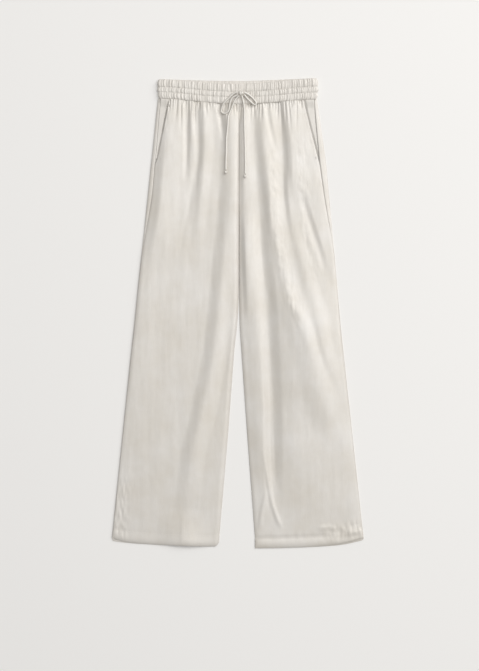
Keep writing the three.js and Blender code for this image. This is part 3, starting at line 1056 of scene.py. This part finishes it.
    def points(self, x: Array, angle: Array, hand: Array, part: Array, depth: Array) -> Array:
        """Place points of the band.

        Args:
            x: their x before they turn.
            angle: their angle round a side.
            hand: the side they turn on.
            part: their part of the height, from the top down.
            depth: their depth into the wall.

        Returns:
            The points.
        """
        frontness = (1 + np.cos(angle)) / 2
        on_front = frontness > 0.5
        wave = np.where(on_front, self.wave(x, part, 1.5), self.wave(x, part, 9.5))
        ease = np.abs(2 * frontness - 1)
        relief = self.rows.at("puff", part) + self.rows.at("gather", part) * wave * ease
        swell = self.rows.at("side", part)
        outside = np.where(on_front, relief, self.BACK_PRESS * (relief - self.BACK_SINK))
        inside = self.INSIDE_SHARE * relief * ease
        radius = mix(self.height / 2 + mix(swell, outside, ease), self.hollow / 2 - inside, depth)
        flat = x * (1 + swell / self.half_width)
        placed_x = flat + hand * radius * np.sin(angle)
        top = mix(self.top(x, "back"), self.top(x, "front"), frontness) + 0.5 * wave * ease - 0.3
        bottom = mix(self.bottom(x, "back"), self.bottom(x, "front"), frontness)
        z = self.height / 2 + radius * np.cos(angle)
        z = np.where(on_front, z, np.maximum(z, FLOOR_CLEARANCE))
        return np.stack([placed_x, mix(top, bottom, part), z], axis=-1)

    def surface(self, x: Array, part: float) -> Array:
        """Give points on the outside of the front, for what is sewn to it."""
        still = np.zeros(x.shape)
        return self.points(x, still, still, np.full(x.shape, part), still)

    def build(self) -> bpy.types.Object:
        """Make the band from a tube of mesh, closed into a wall along its bottom edge.

        Returns:
            The new piece.
        """
        x, angle, hand = self.stations()
        part, depth = self.profile()
        mesh = bmesh.new()
        bmesh.ops.create_cone(mesh, cap_ends=False, segments=len(x), radius1=1, radius2=1, depth=1)
        uprights = [
            edge for edge in mesh.edges if abs(edge.verts[0].co.z - edge.verts[1].co.z) > 0.5]
        bmesh.ops.subdivide_edges(mesh, edges=uprights, cuts=len(part) - 2, use_grid_fill=True)
        places = np.array([vertex.co for vertex in mesh.verts])
        turn = np.mod(np.arctan2(places[:, 1], places[:, 0]), 2 * math.pi) / (2 * math.pi)
        station = np.mod(np.rint(turn * len(x)).astype(int) + self.offset(places, len(x)), len(x))
        row = np.rint((0.5 - places[:, 2]) * (len(part) - 1)).astype(int)
        placed = self.points(x[station], angle[station], hand[station], part[row], depth[row])
        for vertex, point in zip(mesh.verts, placed * MM):
            vertex.co = point
        ends = [edge for edge in mesh.edges if edge.is_boundary]
        bmesh.ops.bridge_loops(mesh, edges=ends)
        steps = np.hypot(np.diff(x), self.height / self.side_columns)
        length = np.concatenate([[0], np.cumsum(steps)])[station] * self.GATHER_EASE
        below = -part[row] * self.CLOTH_HEIGHT - depth[row] * self.CLOTH_TURN
        lay_cloth(mesh, (np.stack([length, below], axis=-1) * MM).tolist())
        bmesh.ops.recalc_face_normals(mesh, faces=mesh.faces)
        # The band's finish carries painted shade for its gathers in its colours.
        piece = add_piece("waistband_gathered", mesh, BAND_SATIN_WITH_PAINTED_SHADE, ["waistband"])
        return piece

    @staticmethod
    def offset(places: Array, count: int) -> int:
        """Give the shift that puts the tube's first column on a whole station."""
        first = math.atan2(places[0, 1], places[0, 0]) / (2 * math.pi) * count
        return 0 if abs(first - round(first)) < 0.25 else 1


@dataclass
class LegSheet:
    """What the front and the back of a leg share: a sheet whose hem is turned in.

    Attributes:
        plan: the leg's cut.
        band: the waistband it is sewn to.
        columns: mesh columns.
        rows: mesh rows down to the hem.
        turn_rows: mesh rows round the hem and up its inside.
        hem_groove: how deep the hem's sewn line sinks in.
    """

    plan: LegPlan
    band: Waistband
    columns: int
    rows: int
    turn_rows: int = 10
    hem_groove: dict[Side, float] = field(
        default_factory=lambda: {Side.LEFT: 0.35, Side.RIGHT: 1.3})

    LENGTH = WAIST_SEAM_Y - HEM_Y
    ROW_CROWDING = 1.3
    HEM_DEPTH = 25.0
    HEM_RADIUS = 0.7
    DOUBLED_RISE = 0.3
    GROOVE_REACH = (3.5, 13)
    PUCKER_SHARE = 0.12
    PUCKER_REACH = 14.0
    TUCK = 0.5

    def hem_turn(self, down: Array) -> tuple[Array, Array]:
        """Split the mesh's rows between the leg and the hem's turning.

        Args:
            down: how far down the mesh each point is.

        Returns:
            How far down the leg each point is, and how far it is turned in, from 0 to 1.
        """
        total = self.rows + self.turn_rows
        row = down * total
        radius = self.HEM_RADIUS / self.LENGTH
        leg = (np.clip(row / self.rows, 0, 1)) ** self.ROW_CROWDING * (1 - radius)
        past = np.clip((row - self.rows) / self.turn_rows, 0, 1)
        arc = np.clip(past * 2, 0, 1) * math.pi
        back_up = np.clip(past * 2 - 1, 0, 1) * (self.HEM_DEPTH - 3) / self.LENGTH
        return leg + radius * np.sin(arc) - back_up, (1 - np.cos(arc)) / 2

    def hem_relief(self, y: Array, hem_y: Array, x: Array) -> Array:
        """Give the step where the hem is doubled, its sewn groove and its faint puckers.

        Args:
            y: the points' y.
            hem_y: the y of the hem's edge below each.
            x: the points' x.

        Returns:
            What the hem adds to the height.
        """
        above = y - hem_y - self.HEM_DEPTH
        depth = self.hem_groove[self.plan.side]
        doubled = self.DOUBLED_RISE * smooth((4 - above) / 8)
        groove = -depth * smooth(1 - np.abs(above) / np.where(above > 0, *self.GROOVE_REACH))
        ripple = np.sin(x / 4.1 + 2 * np.sin(x / 23))
        puckers = self.PUCKER_SHARE * depth * ripple * smooth(1 - np.abs(above) / self.PUCKER_REACH)
        return doubled + groove + puckers


@dataclass
class FrontLeg(LegSheet):
    """The front of a leg, with the folds that the photograph shows."""

    columns: int = 128
    rows: int = 290

    LOWEST = 2.3
    UNEVENNESS = (Lumps(0.25, 16, 190, 3.1), Lumps(0.35, 60, 90, 8.3), Lumps(0.1, 9, 22, 5.7))
    CRINKLES = (Lumps(1.0, 9, 16, 2.4), Lumps(0.5, 4.5, 9, 6.1))
    PLEAT_LEVEL = 480.0
    PLEAT_SEEDS = {Side.LEFT: 11, Side.RIGHT: 23}
    COLUMN_CROWDING = 0.45
    OUTER_ROLL = 24.0
    EDGE_ROLL = 7.0
    LIP_ROLL = 1.8
    LIP_FOOT_Y = 300.0
    LIP_FADE = 50.0
    HEM_ROLL = 10.0
    HEM_DROP = 2.2
    HEM_HEIGHT = 1.7

    def heights(self, x: Array, y: Array) -> Array:
        """Give the height of the front's outer face.

        Args:
            x: the points' x.
            y: the points' y.

        Returns:
            The heights.
        """
        plan = self.plan
        way = plan.side.value
        from_inner = np.clip((x - plan.inner_edge(y)) * way, 0, None)
        from_outer = np.clip((plan.front_edge(y) - x) * way, 0, None)
        middle = CROWN.at("middle", y)
        z = middle.copy()
        for edge, inside, reach in (
                ("inner", from_inner, plan.inner_roll), ("outer", from_outer, self.OUTER_ROLL)):
            z -= (middle - CROWN.at(edge, y)) * (1 - np.clip(inside / reach, 0, 1)) ** 2
        for fold in plan.folds.values():
            z += fold.height_at(x, y)
        seam_y = self.band.bottom(x, "front")
        below = seam_y - y
        level = np.array(self.PLEAT_LEVEL)
        edges = sorted((float(plan.inner_edge(level)), float(plan.front_edge(level))))
        pleats = SmallPleats(6.0, 2.4, (14, 90), 2.7, self.PLEAT_SEEDS[plan.side])
        z += pleats.height_at(x, below, tuple(edges))
        z += uneven(x, y, self.UNEVENNESS)
        crinkle = uneven(x, y, self.CRINKLES)
        for place in plan.crinkles.values():
            z += place.height_at(x, y) * crinkle
        z += self.hem_relief(y, plan.hem.at("y", x), x)
        z = np.maximum(z, self.LOWEST)
        z = self.roll(z, from_inner, self.EDGE_ROLL, CROWN.at("inner_edge", y))
        lip = mix(self.EDGE_ROLL, self.LIP_ROLL, smooth((y - self.LIP_FOOT_Y) / self.LIP_FADE))
        z = self.roll(z, from_outer, lip, CROWN.at("outer_edge", y))
        above_hem = np.clip(y - plan.hem.at("y", x), 0, None)
        hem_z = np.maximum(z - self.HEM_DROP, self.HEM_HEIGHT)
        return self.roll(z, above_hem, self.HEM_ROLL, hem_z)

    @staticmethod
    def roll(z: Array, inside: Array, reach: Array, edge: Array) -> Array:
        """Round the cloth down to an edge."""
        part = np.clip(inside / reach, 0, 1)
        return mix(np.minimum(edge, z), z, np.sqrt(1 - (1 - part) ** 2))

    def build(self) -> bpy.types.Object:
        """Make the front as a sheet of cloth.

        Returns:
            The new piece.
        """
        plan = self.plan
        grid = ClothGrid(self.columns, self.rows + self.turn_rows)
        down, tuck = self.hem_turn(grid.down)
        across = mix(grid.across, 0.5 - 0.5 * np.cos(math.pi * grid.across), self.COLUMN_CROWDING)
        if plan.side is Side.LEFT:
            across = 1 - across
        nominal = mix(WAIST_SEAM_Y, HEM_Y, down)
        near_x = mix(plan.inner_edge(nominal), plan.front_edge(nominal), across)
        y = plan.level(near_x, down, self.band.bottom(near_x, "front") + self.TUCK)
        x = mix(plan.inner_edge(y), plan.front_edge(y), across)
        z = self.heights(x, y)
        room = np.clip((z - 1.0) / 3.2, 0.05, self.HEM_RADIUS)
        z = z - 2 * room * tuck
        grid.place(np.stack([x, y, z], axis=-1), np.stack([x, y], axis=-1), faces_up=True)
        name = plan.side.label
        piece = grid.finish(f"front_{name}_cloth", SATIN, [f"front_leg_{name}"])
        return piece


@dataclass
class BackLeg(LegSheet):
    """The back of a leg: flat on the floor, turned up at the side and over to the side seam."""

    columns: int = 92
    rows: int = 190

    STRIP_RISE = 0.3
    SEAM_DITCH = 0.25
    COLUMN_SHARES = (0, 0.84, 0.93, 1)
    STREAKS = (Lumps(0.5, 26, 240, 14.2), Lumps(0.35, 70, 120, 19.4))
    PLEATS = SmallPleats(7.0, 0.9, (12, 50), 2.8, 37)
    PLEAT_SPAN = (-178, 178)
    EVEN_LIFT = 0.15
    MOST_LIFT = 1.1

    def build(self) -> bpy.types.Object:
        """Make the back as a sheet of cloth.

        Returns:
            The new piece.
        """
        plan = self.plan
        way = plan.side.value
        grid = ClothGrid(self.columns, self.rows + self.turn_rows)
        down, tuck = self.hem_turn(grid.down)
        nominal = mix(WAIST_SEAM_Y, HEM_Y, down)
        near_part = np.clip(grid.across * 1.1, 0, 1)
        near_x = mix(plan.inner_edge(nominal), plan.side_edge(nominal), near_part)
        y = plan.level(near_x, down, self.band.bottom(near_x, "back") + self.TUCK)
        wrap = np.abs(plan.side_edge(y) - plan.side_seam(y))
        reach = np.maximum(wrap, FOLD_RADIUS)
        centre = plan.side_edge(y) - way * reach
        flat = np.abs(centre - plan.inner_edge(y))
        full_turn = math.pi - np.arcsin(np.clip(1 - wrap / reach, 0, 1))
        # The last columns go to the turn and to the edge sunk in the side seam.
        travelled = np.interp(grid.across, self.COLUMN_SHARES, range(len(self.COLUMN_SHARES)))
        flat_part, turn_part, seam_part = (np.clip(travelled - start, 0, 1) for start in range(3))
        turn = turn_part * full_turn
        flat_x = plan.inner_edge(y) + way * flat * flat_part
        lift = self.underside(flat_x, y) * (1 - np.sin(turn / 2))
        ditch = self.SEAM_DITCH * smooth(seam_part)
        lie = np.cos(turn)
        x = plan.inner_edge(y) + way * (flat * flat_part + reach * np.sin(turn))
        radius = FOLD_RADIUS + self.STRIP_RISE / 2 * smooth(wrap / 6)
        z = FLOOR_CLEARANCE + radius * (1 - lie) + lift * smooth(lie) - ditch
        z = z + 2 * self.HEM_RADIUS * tuck * lie * np.where(lie < 0, 0.4, 0.6)
        cloth_x = way * (flat * flat_part + (reach + FOLD_RADIUS) / 2 * turn)
        grid.place(np.stack([x, y, z], axis=-1), np.stack([cloth_x, y], axis=-1), faces_up=False)
        name = plan.side.label
        piece = grid.finish(f"back_{name}_cloth", SATIN, [f"back_leg_{name}"])
        return piece

    def underside(self, x: Array, y: Array) -> Array:
        """Give how far soft creases lift the back off the floor.

        Args:
            x: the points' x.
            y: the points' y.

        Returns:
            The heights of the creases.
        """
        below = self.band.bottom(x, "back") - y
        gathers = self.PLEATS.height_at(x, below, self.PLEAT_SPAN)
        return np.clip(self.EVEN_LIFT + uneven(x, y, self.STREAKS) - gathers, 0, self.MOST_LIFT)


@dataclass
class PocketFacing:
    """The cloth that shows in a pocket opening, between the side seam and the pocket's edge."""

    plan: LegPlan
    band: Waistband
    foot_y: float = 349.0
    underlap: float = 8.0
    height: float = 3.0
    rise: float = 3.2
    rise_length: float = 22.0
    gape: float = 1.6
    gape_width: float = 5.0

    COLUMNS = 24
    ROWS = 90

    def build(self) -> bpy.types.Object:
        """Make the facing as a sheet of cloth.

        Returns:
            The new piece.
        """
        plan = self.plan
        way = plan.side.value
        grid = ClothGrid(self.COLUMNS, self.ROWS)
        side_x = np.full(grid.down.shape, way * self.band.half_width)
        top = self.band.bottom(side_x, "front") + LegSheet.TUCK
        y = mix(top, self.foot_y, grid.down)
        seam = plan.side_seam(y) - way * plan.SEAM_GAP
        under = plan.front_edge(y) - way * self.underlap * (1 - 0.6 * grid.down)
        across = grid.across if plan.side is Side.RIGHT else 1 - grid.across
        x = mix(under, seam, across)
        y = y + (self.band.bottom(x, "front") + LegSheet.TUCK - top) * (1 - grid.down) ** 3
        from_seam = np.abs(seam - x)
        z = self.height - 0.2 * smooth(1 - from_seam / 2.0) + 0.3 * cloth_noise(x, y, 9, 40, 4.4)
        z += self.rise * smooth(1 - grid.down * (WAIST_SEAM_Y - self.foot_y) / self.rise_length)
        from_lip = (x - plan.front_edge(y)) * way
        z -= self.gape * smooth(1 - np.clip(from_lip, 0, None) / self.gape_width)
        grid.place(np.stack([x, y, z], axis=-1), np.stack([x, y], axis=-1), faces_up=True)
        name = plan.side.label
        piece = grid.finish(f"facing_{name}_cloth", FACING_SATIN, [f"pocket_facing_{name}"])
        return piece


CORD_ROUTES: dict[str, Sequence[Point]] = {
    "loop_left": (
        (-0.0014, 0.4994, 0.0136), (-0.01, 0.4965, 0.0124), (-0.021, 0.486, 0.0114),
        (-0.031, 0.476, 0.0108), (-0.037, 0.462, 0.009), (-0.036, 0.455, 0.0086),
        (-0.029, 0.4525, 0.0094), (-0.021, 0.459, 0.0098), (-0.0175, 0.476, 0.0109),
        (-0.0125, 0.487, 0.0116), (-0.0006, 0.4942, 0.0132)),
    "tail_left": (
        (0.0034, 0.4922, 0.013), (-0.0035, 0.486, 0.0116), (-0.009, 0.477, 0.011),
        (-0.013, 0.466, 0.01), (-0.0175, 0.455, 0.0099), (-0.0215, 0.444, 0.0104),
        (-0.023, 0.419, 0.011), (-0.0255, 0.396, 0.0109), (-0.026, 0.367, 0.0107),
        (-0.027, 0.341, 0.0105), (-0.027, 0.325, 0.0106)),
    "loop_right": (
        (0.0152, 0.4994, 0.0136), (0.024, 0.495, 0.0122), (0.034, 0.487, 0.0112),
        (0.0415, 0.4765, 0.0108), (0.038, 0.472, 0.0106), (0.031, 0.477, 0.0108),
        (0.022, 0.4855, 0.0114), (0.0144, 0.4944, 0.0132)),
    "tail_right": (
        (0.009, 0.492, 0.013), (0.011, 0.485, 0.0116), (0.013, 0.476, 0.011),
        (0.0145, 0.466, 0.0096), (0.015, 0.454, 0.009), (0.015, 0.432, 0.009),
        (0.016, 0.394, 0.0089), (0.017, 0.348, 0.0088), (0.017, 0.316, 0.0086)),
}


@dataclass
class Drawstring:
    """The drawstring: a thin tube of satin tied in a bow, with a small knot at each end.

    Attributes:
        diameter: the tube's diameter.
        knot: the middle of the bow's knot.
        ends: the middle of the knot at each tail's end.
    """

    diameter: float = 4.0
    knot: Point = (7.0, 498.0, 13.7)
    ends: dict[str, Point] = field(default_factory=lambda: {
        "left": (-27.0, 319.5, 11.5), "right": (17.0, 310.5, 9.4)})

    STEPS = 6
    KNOT_SIZE = 6.3
    END_SIZE = 3.9

    def cord(self, name: str) -> bpy.types.Object:
        """Make one free stretch of the drawstring as a curve.

        Args:
            name: the stretch's name in the table of routes.

        Returns:
            The new piece.
        """
        line = smooth_path(CORD_ROUTES[name], self.STEPS)
        shape = bpy.data.curves.new(f"cord_{name}", "CURVE")
        shape.dimensions = "3D"
        shape.bevel_depth = self.diameter / 2 * MM
        shape.bevel_resolution = 4
        shape.use_fill_caps = True
        spline = shape.splines.new("POLY")
        spline.points.add(len(line) - 1)
        for point, place in zip(spline.points, line):
            point.co = (*place, 1.0)
        spline.use_smooth = True
        shape.materials.append(CORD_SATIN_WITH_PAINTED_HIGHLIGHT.material())
        piece = add_object(f"cord_{name}", shape)
        dress(piece, [f"drawstring_{name}"])
        return piece

    def ring(self, mesh: bmesh.types.BMesh, radii: tuple[float, float], thickness: float,
             place: Matrix) -> None:
        """Add one turn of the tube to a knot.

        Args:
            mesh: the knot's mesh.
            radii: the turn's half width and half height.
            thickness: the tube's radius.
            place: where the turn goes, in metres.
        """
        made = bmesh.ops.create_circle(mesh, segments=12, radius=thickness * MM)
        start = Matrix.Translation((radii[0] * MM, 0, 0)) @ Matrix.Rotation(math.pi / 2, 4, "X")
        bmesh.ops.transform(mesh, matrix=start, verts=made["verts"])
        edges = list({edge for vertex in made["verts"] for edge in vertex.link_edges})
        old = set(mesh.verts) - set(made["verts"])
        bmesh.ops.spin(mesh, geom=edges, cent=(0, 0, 0), axis=(0, 0, 1), steps=28,
                       angle=2 * math.pi, use_merge=True)
        turned = [vertex for vertex in mesh.verts if vertex not in old]
        squash = Matrix.Diagonal((1, radii[1] / radii[0], 1, 1))
        bmesh.ops.transform(mesh, matrix=place @ squash, verts=turned)

    def tie(self, name: str, at: Point, size: float, node: str) -> bpy.types.Object:
        """Make a knot from a core and turns of the tube round it.

        Args:
            name: the piece's name.
            at: the knot's middle.
            size: its half width.
            node: the node it stands for.

        Returns:
            The new piece.
        """
        mesh = bmesh.new()
        middle = Matrix.Translation(Vector(at) * MM)
        core = middle @ Matrix.Diagonal((size * 0.9, size * 0.52, size * 0.4, 1))
        bmesh.ops.create_uvsphere(mesh, u_segments=24, v_segments=14, radius=MM, matrix=core)
        for shift, lean in ((-0.28, 12), (0.3, -10)):
            place = (
                middle
                @ Matrix.Translation((shift * size * MM, 0, 0))
                @ Matrix.Rotation(math.radians(lean), 4, "Z")
                @ Matrix.Rotation(math.pi / 2, 4, "Y")
            )
            self.ring(mesh, (size * 0.32, size * 0.5), self.diameter * 0.36, place)
        bmesh.ops.recalc_face_normals(mesh, faces=mesh.faces)
        put_in_order(mesh)
        lay_cloth(mesh, [vertex.co.xy for vertex in mesh.verts])
        return add_piece(name, mesh, CORD_SATIN_WITH_PAINTED_HIGHLIGHT, [node])

    def build(self) -> None:
        knot = self.tie("bow_knot", self.knot, self.KNOT_SIZE, "drawstring_knot")
        for name, route in CORD_ROUTES.items():
            piece = self.cord(name)
            line = smooth_path(route, self.STEPS)
            on_it = [knot] if name == "loop_left" else []
            part, side = name.split("_")
            if part == "tail":
                node = f"drawstring_end_{side}"
                on_it = [self.tie(f"tail_knot_{side}", self.ends[side], self.END_SIZE, node)]


@dataclass
class Stitching:
    """The sewing that shows: the band's rows, the pockets, the hems and the two buttonholes.

    Attributes:
        band: the waistband.
        fronts: the fronts of the legs.
        pitch: the distance from one stitch to the next.
        length: the length of thread that shows in each.
        thickness: the thread's thickness.
    """

    band: Waistband
    fronts: Sequence[FrontLeg]
    pitch: float = 3.0
    length: float = 2.1
    thickness: float = 0.45

    LIFT = 0.12
    BAND_ROWS = (0.40, 0.67, 0.965)
    BAND_REACH = 172.0
    POCKET_INSET = 6.0
    POCKET_SPAN = (478.0, 350.0)
    POCKET_BARS = (470.0, 352.0)
    BAR_STITCHES = 9
    BAR_PITCH = 0.6
    HEM_LEVEL = -505.0
    BUTTONHOLES = (-6.0, 20.0)
    BUTTONHOLE_PART = 0.55
    BUTTONHOLE_STITCHES = 30
    BUTTONHOLE_TALL = 1.9

    def stitch(self, mesh: bmesh.types.BMesh, start: Array, end: Array) -> None:
        """Add one stitch between two points.

        Args:
            mesh: the mesh to add to.
            start: its first point.
            end: its last point.
        """
        way = Vector(end - start)
        middle = Vector((start + end) / 2) * MM
        turn = way.to_track_quat("X", "Z").to_matrix().to_4x4()
        half = self.thickness / 2
        size = Matrix.Diagonal((way.length / 2, half, half * 0.8, 1))
        bmesh.ops.create_icosphere(
            mesh, subdivisions=1, radius=MM, matrix=Matrix.Translation(middle) @ turn @ size)

    def row(self, mesh: bmesh.types.BMesh, line: Array) -> None:
        """Sew a row of stitches along a line.

        Args:
            mesh: the mesh to add to.
            line: points of the line, close together.
        """
        travelled = np.concatenate([[0], np.cumsum(np.linalg.norm(np.diff(line, axis=0), axis=1))])
        for start in np.arange(0, travelled[-1] - self.length, self.pitch):
            ends = [
                np.array([np.interp(place, travelled, line[:, axis]) for axis in range(3)])
                for place in (start, start + self.length)
            ]
            self.stitch(mesh, *ends)

    def on_front(self, leg: FrontLeg, x: Array, y: Array) -> Array:
        """Give points that lie on a front."""
        return np.stack([x, y, leg.heights(x, y) + self.LIFT], axis=-1)

    def sew_band(self) -> bpy.types.Object:
        """Sew the waistband's rows.

        Returns:
            The new piece.
        """
        mesh = bmesh.new()
        x = np.linspace(-self.BAND_REACH, self.BAND_REACH, 900)
        for part in self.BAND_ROWS:
            line = self.band.surface(x, part)
            line[:, 2] += self.LIFT
            self.row(mesh, line)
        return add_piece("waistband_stitches", mesh, THREAD)

    def sew_pockets(self) -> bpy.types.Object:
        """Sew along each pocket's edge, with a bar of close stitches at its foot and head.

        Returns:
            The new piece.
        """
        mesh = bmesh.new()
        for leg in self.fronts:
            way = leg.plan.side.value
            y = np.linspace(*self.POCKET_SPAN, 120)
            x = leg.plan.front_edge(y) - way * self.POCKET_INSET
            self.row(mesh, self.on_front(leg, x, y))
            for bar_y in self.POCKET_BARS:
                for step in range(self.BAR_STITCHES):
                    level = np.full(2, bar_y + self.BAR_PITCH * (step - self.BAR_STITCHES // 2))
                    edge = leg.plan.front_edge(level)
                    across = edge - way * np.array([0.8, 6.4 + 0.5 * (step % 2)])
                    self.stitch(mesh, *self.on_front(leg, across, level))
        return add_piece("pocket_stitches", mesh, THREAD)

    def sew_hems(self) -> bpy.types.Object:
        """Sew each front's hem.

        Returns:
            The new piece.
        """
        mesh = bmesh.new()
        for leg in self.fronts:
            low = np.array(self.HEM_LEVEL)
            ends = float(leg.plan.inner_edge(low)), float(leg.plan.front_edge(low))
            x = np.linspace(*ends, 400)[4:-4]
            y = leg.plan.hem.at("y", x) + leg.HEM_DEPTH
            self.row(mesh, self.on_front(leg, x, y))
        return add_piece("hem_stitches", mesh, THREAD)

    def sew_buttonholes(self) -> bpy.types.Object:
        """Sew an upright oval of close stitches for each end of the drawstring.

        Returns:
            The new piece.
        """
        mesh = bmesh.new()
        for middle_x in self.BUTTONHOLES:
            middle = self.band.surface(np.array([middle_x]), self.BUTTONHOLE_PART)[0]
            middle = middle + np.array([0, 0, 0.5])
            for step in range(self.BUTTONHOLE_STITCHES):
                angle = 2 * math.pi * step / self.BUTTONHOLE_STITCHES
                spoke = np.array([math.cos(angle), self.BUTTONHOLE_TALL * math.sin(angle), 0])
                self.stitch(mesh, middle + 1.6 * spoke, middle + 2.7 * spoke)
        return add_piece("buttonholes", mesh, THREAD)

    def build(self) -> None:
        """Sew everything, reporting each piece."""
        for sew in (self.sew_band, self.sew_pockets, self.sew_hems, self.sew_buttonholes):
            LOG.info("made %s", sew().name)


class Softbox(NamedTuple):
    """A square soft light: where it hangs and the length of its side in metres, and its watts."""

    place: Point
    size: float
    power: float


@dataclass
class Studio:
    """The camera, the pale floor and the soft light.

    Attributes:
        aim: the point of the floor in the middle of the picture, in metres.
        distance: the camera's height in metres.
        frame_height: how much of the floor the picture's height covers, in metres.
    """

    aim: tuple[float, float] = (0.0039, -0.0502)
    distance: float = 3.4
    frame_height: float = 1.523

    SENSOR = 36.0
    FLOOR_REACH = 6.0
    FLOOR_COLOR = (0.895, 0.882, 0.862, 1)
    FLOOR_ROUGHNESS = 0.9
    FLOOR_SPECULAR = 0.2
    SKY_COLOR = (1.0, 0.99, 0.975, 1)
    SKY_STRENGTH = 0.36
    SOFTBOXES = {
        "overhead_softbox": Softbox((1.7, 1.4, 5.4), 5.4, 190),
        "side_softbox": Softbox((7.4, 4.8, 5.2), 6.0, 410),
    }

    def place_camera(self) -> None:
        """Put the camera straight above, with the waist at the top of the picture."""
        lens = bpy.data.cameras.new("camera")
        lens.sensor_width = self.SENSOR
        lens.lens = self.SENSOR * self.distance / self.frame_height
        camera = add_object("camera", lens)
        camera.location = (*self.aim, self.distance)
        bpy.context.scene.camera = camera

    def lay_floor(self) -> None:
        """Lay a plain pale floor."""
        mesh = bmesh.new()
        bmesh.ops.create_grid(mesh, x_segments=1, y_segments=1, size=self.FLOOR_REACH)
        data = bpy.data.meshes.new("floor")
        mesh.to_mesh(data)
        mesh.free()
        paint = bpy.data.materials.new("floor_paint")
        paint.use_nodes = True
        NodeMaker(paint.node_tree).feed(paint.node_tree.nodes["Principled BSDF"], {
            "Base Color": self.FLOOR_COLOR,
            "Roughness": self.FLOOR_ROUGHNESS,
            "Specular IOR Level": self.FLOOR_SPECULAR,
        })
        data.materials.append(paint)
        floor = add_object("floor", data)

    def light(self) -> None:
        """Light the part from the upper right, with soft light all round."""
        for name, box in self.SOFTBOXES.items():
            data = bpy.data.lights.new(name, "AREA")
            data.size = box.size
            data.energy = box.power
            lamp = add_object(name, data)
            lamp.location = box.place
            lamp.rotation_euler = (-Vector(box.place)).to_track_quat("-Z", "Y").to_euler()
        world = bpy.data.worlds.new("sky")
        world.use_nodes = True
        NodeMaker(world.node_tree).feed(world.node_tree.nodes["Background"], {
            "Color": self.SKY_COLOR, "Strength": self.SKY_STRENGTH})
        bpy.context.scene.world = world
        bpy.context.scene.view_settings.view_transform = "Standard"


def main() -> None:
    """Build the whole scene in order."""
    logging.basicConfig(level=logging.INFO, format="%(message)s")
    studio = Studio()
    studio.place_camera()
    Drawstring().build()
    LOG.info("drawstring tied")
    studio.lay_floor()
    studio.light()
    band = Waistband()
    LOG.info("made %s", band.build().name)
    fronts = [FrontLeg(plan, band) for plan in LEG_PLANS]
    for front in fronts:
        for part in (BackLeg(front.plan, band), front, PocketFacing(front.plan, band)):
            LOG.info("made %s", part.build().name)
    Stitching(band, fronts).build()


if __name__ == "__main__":
    main()
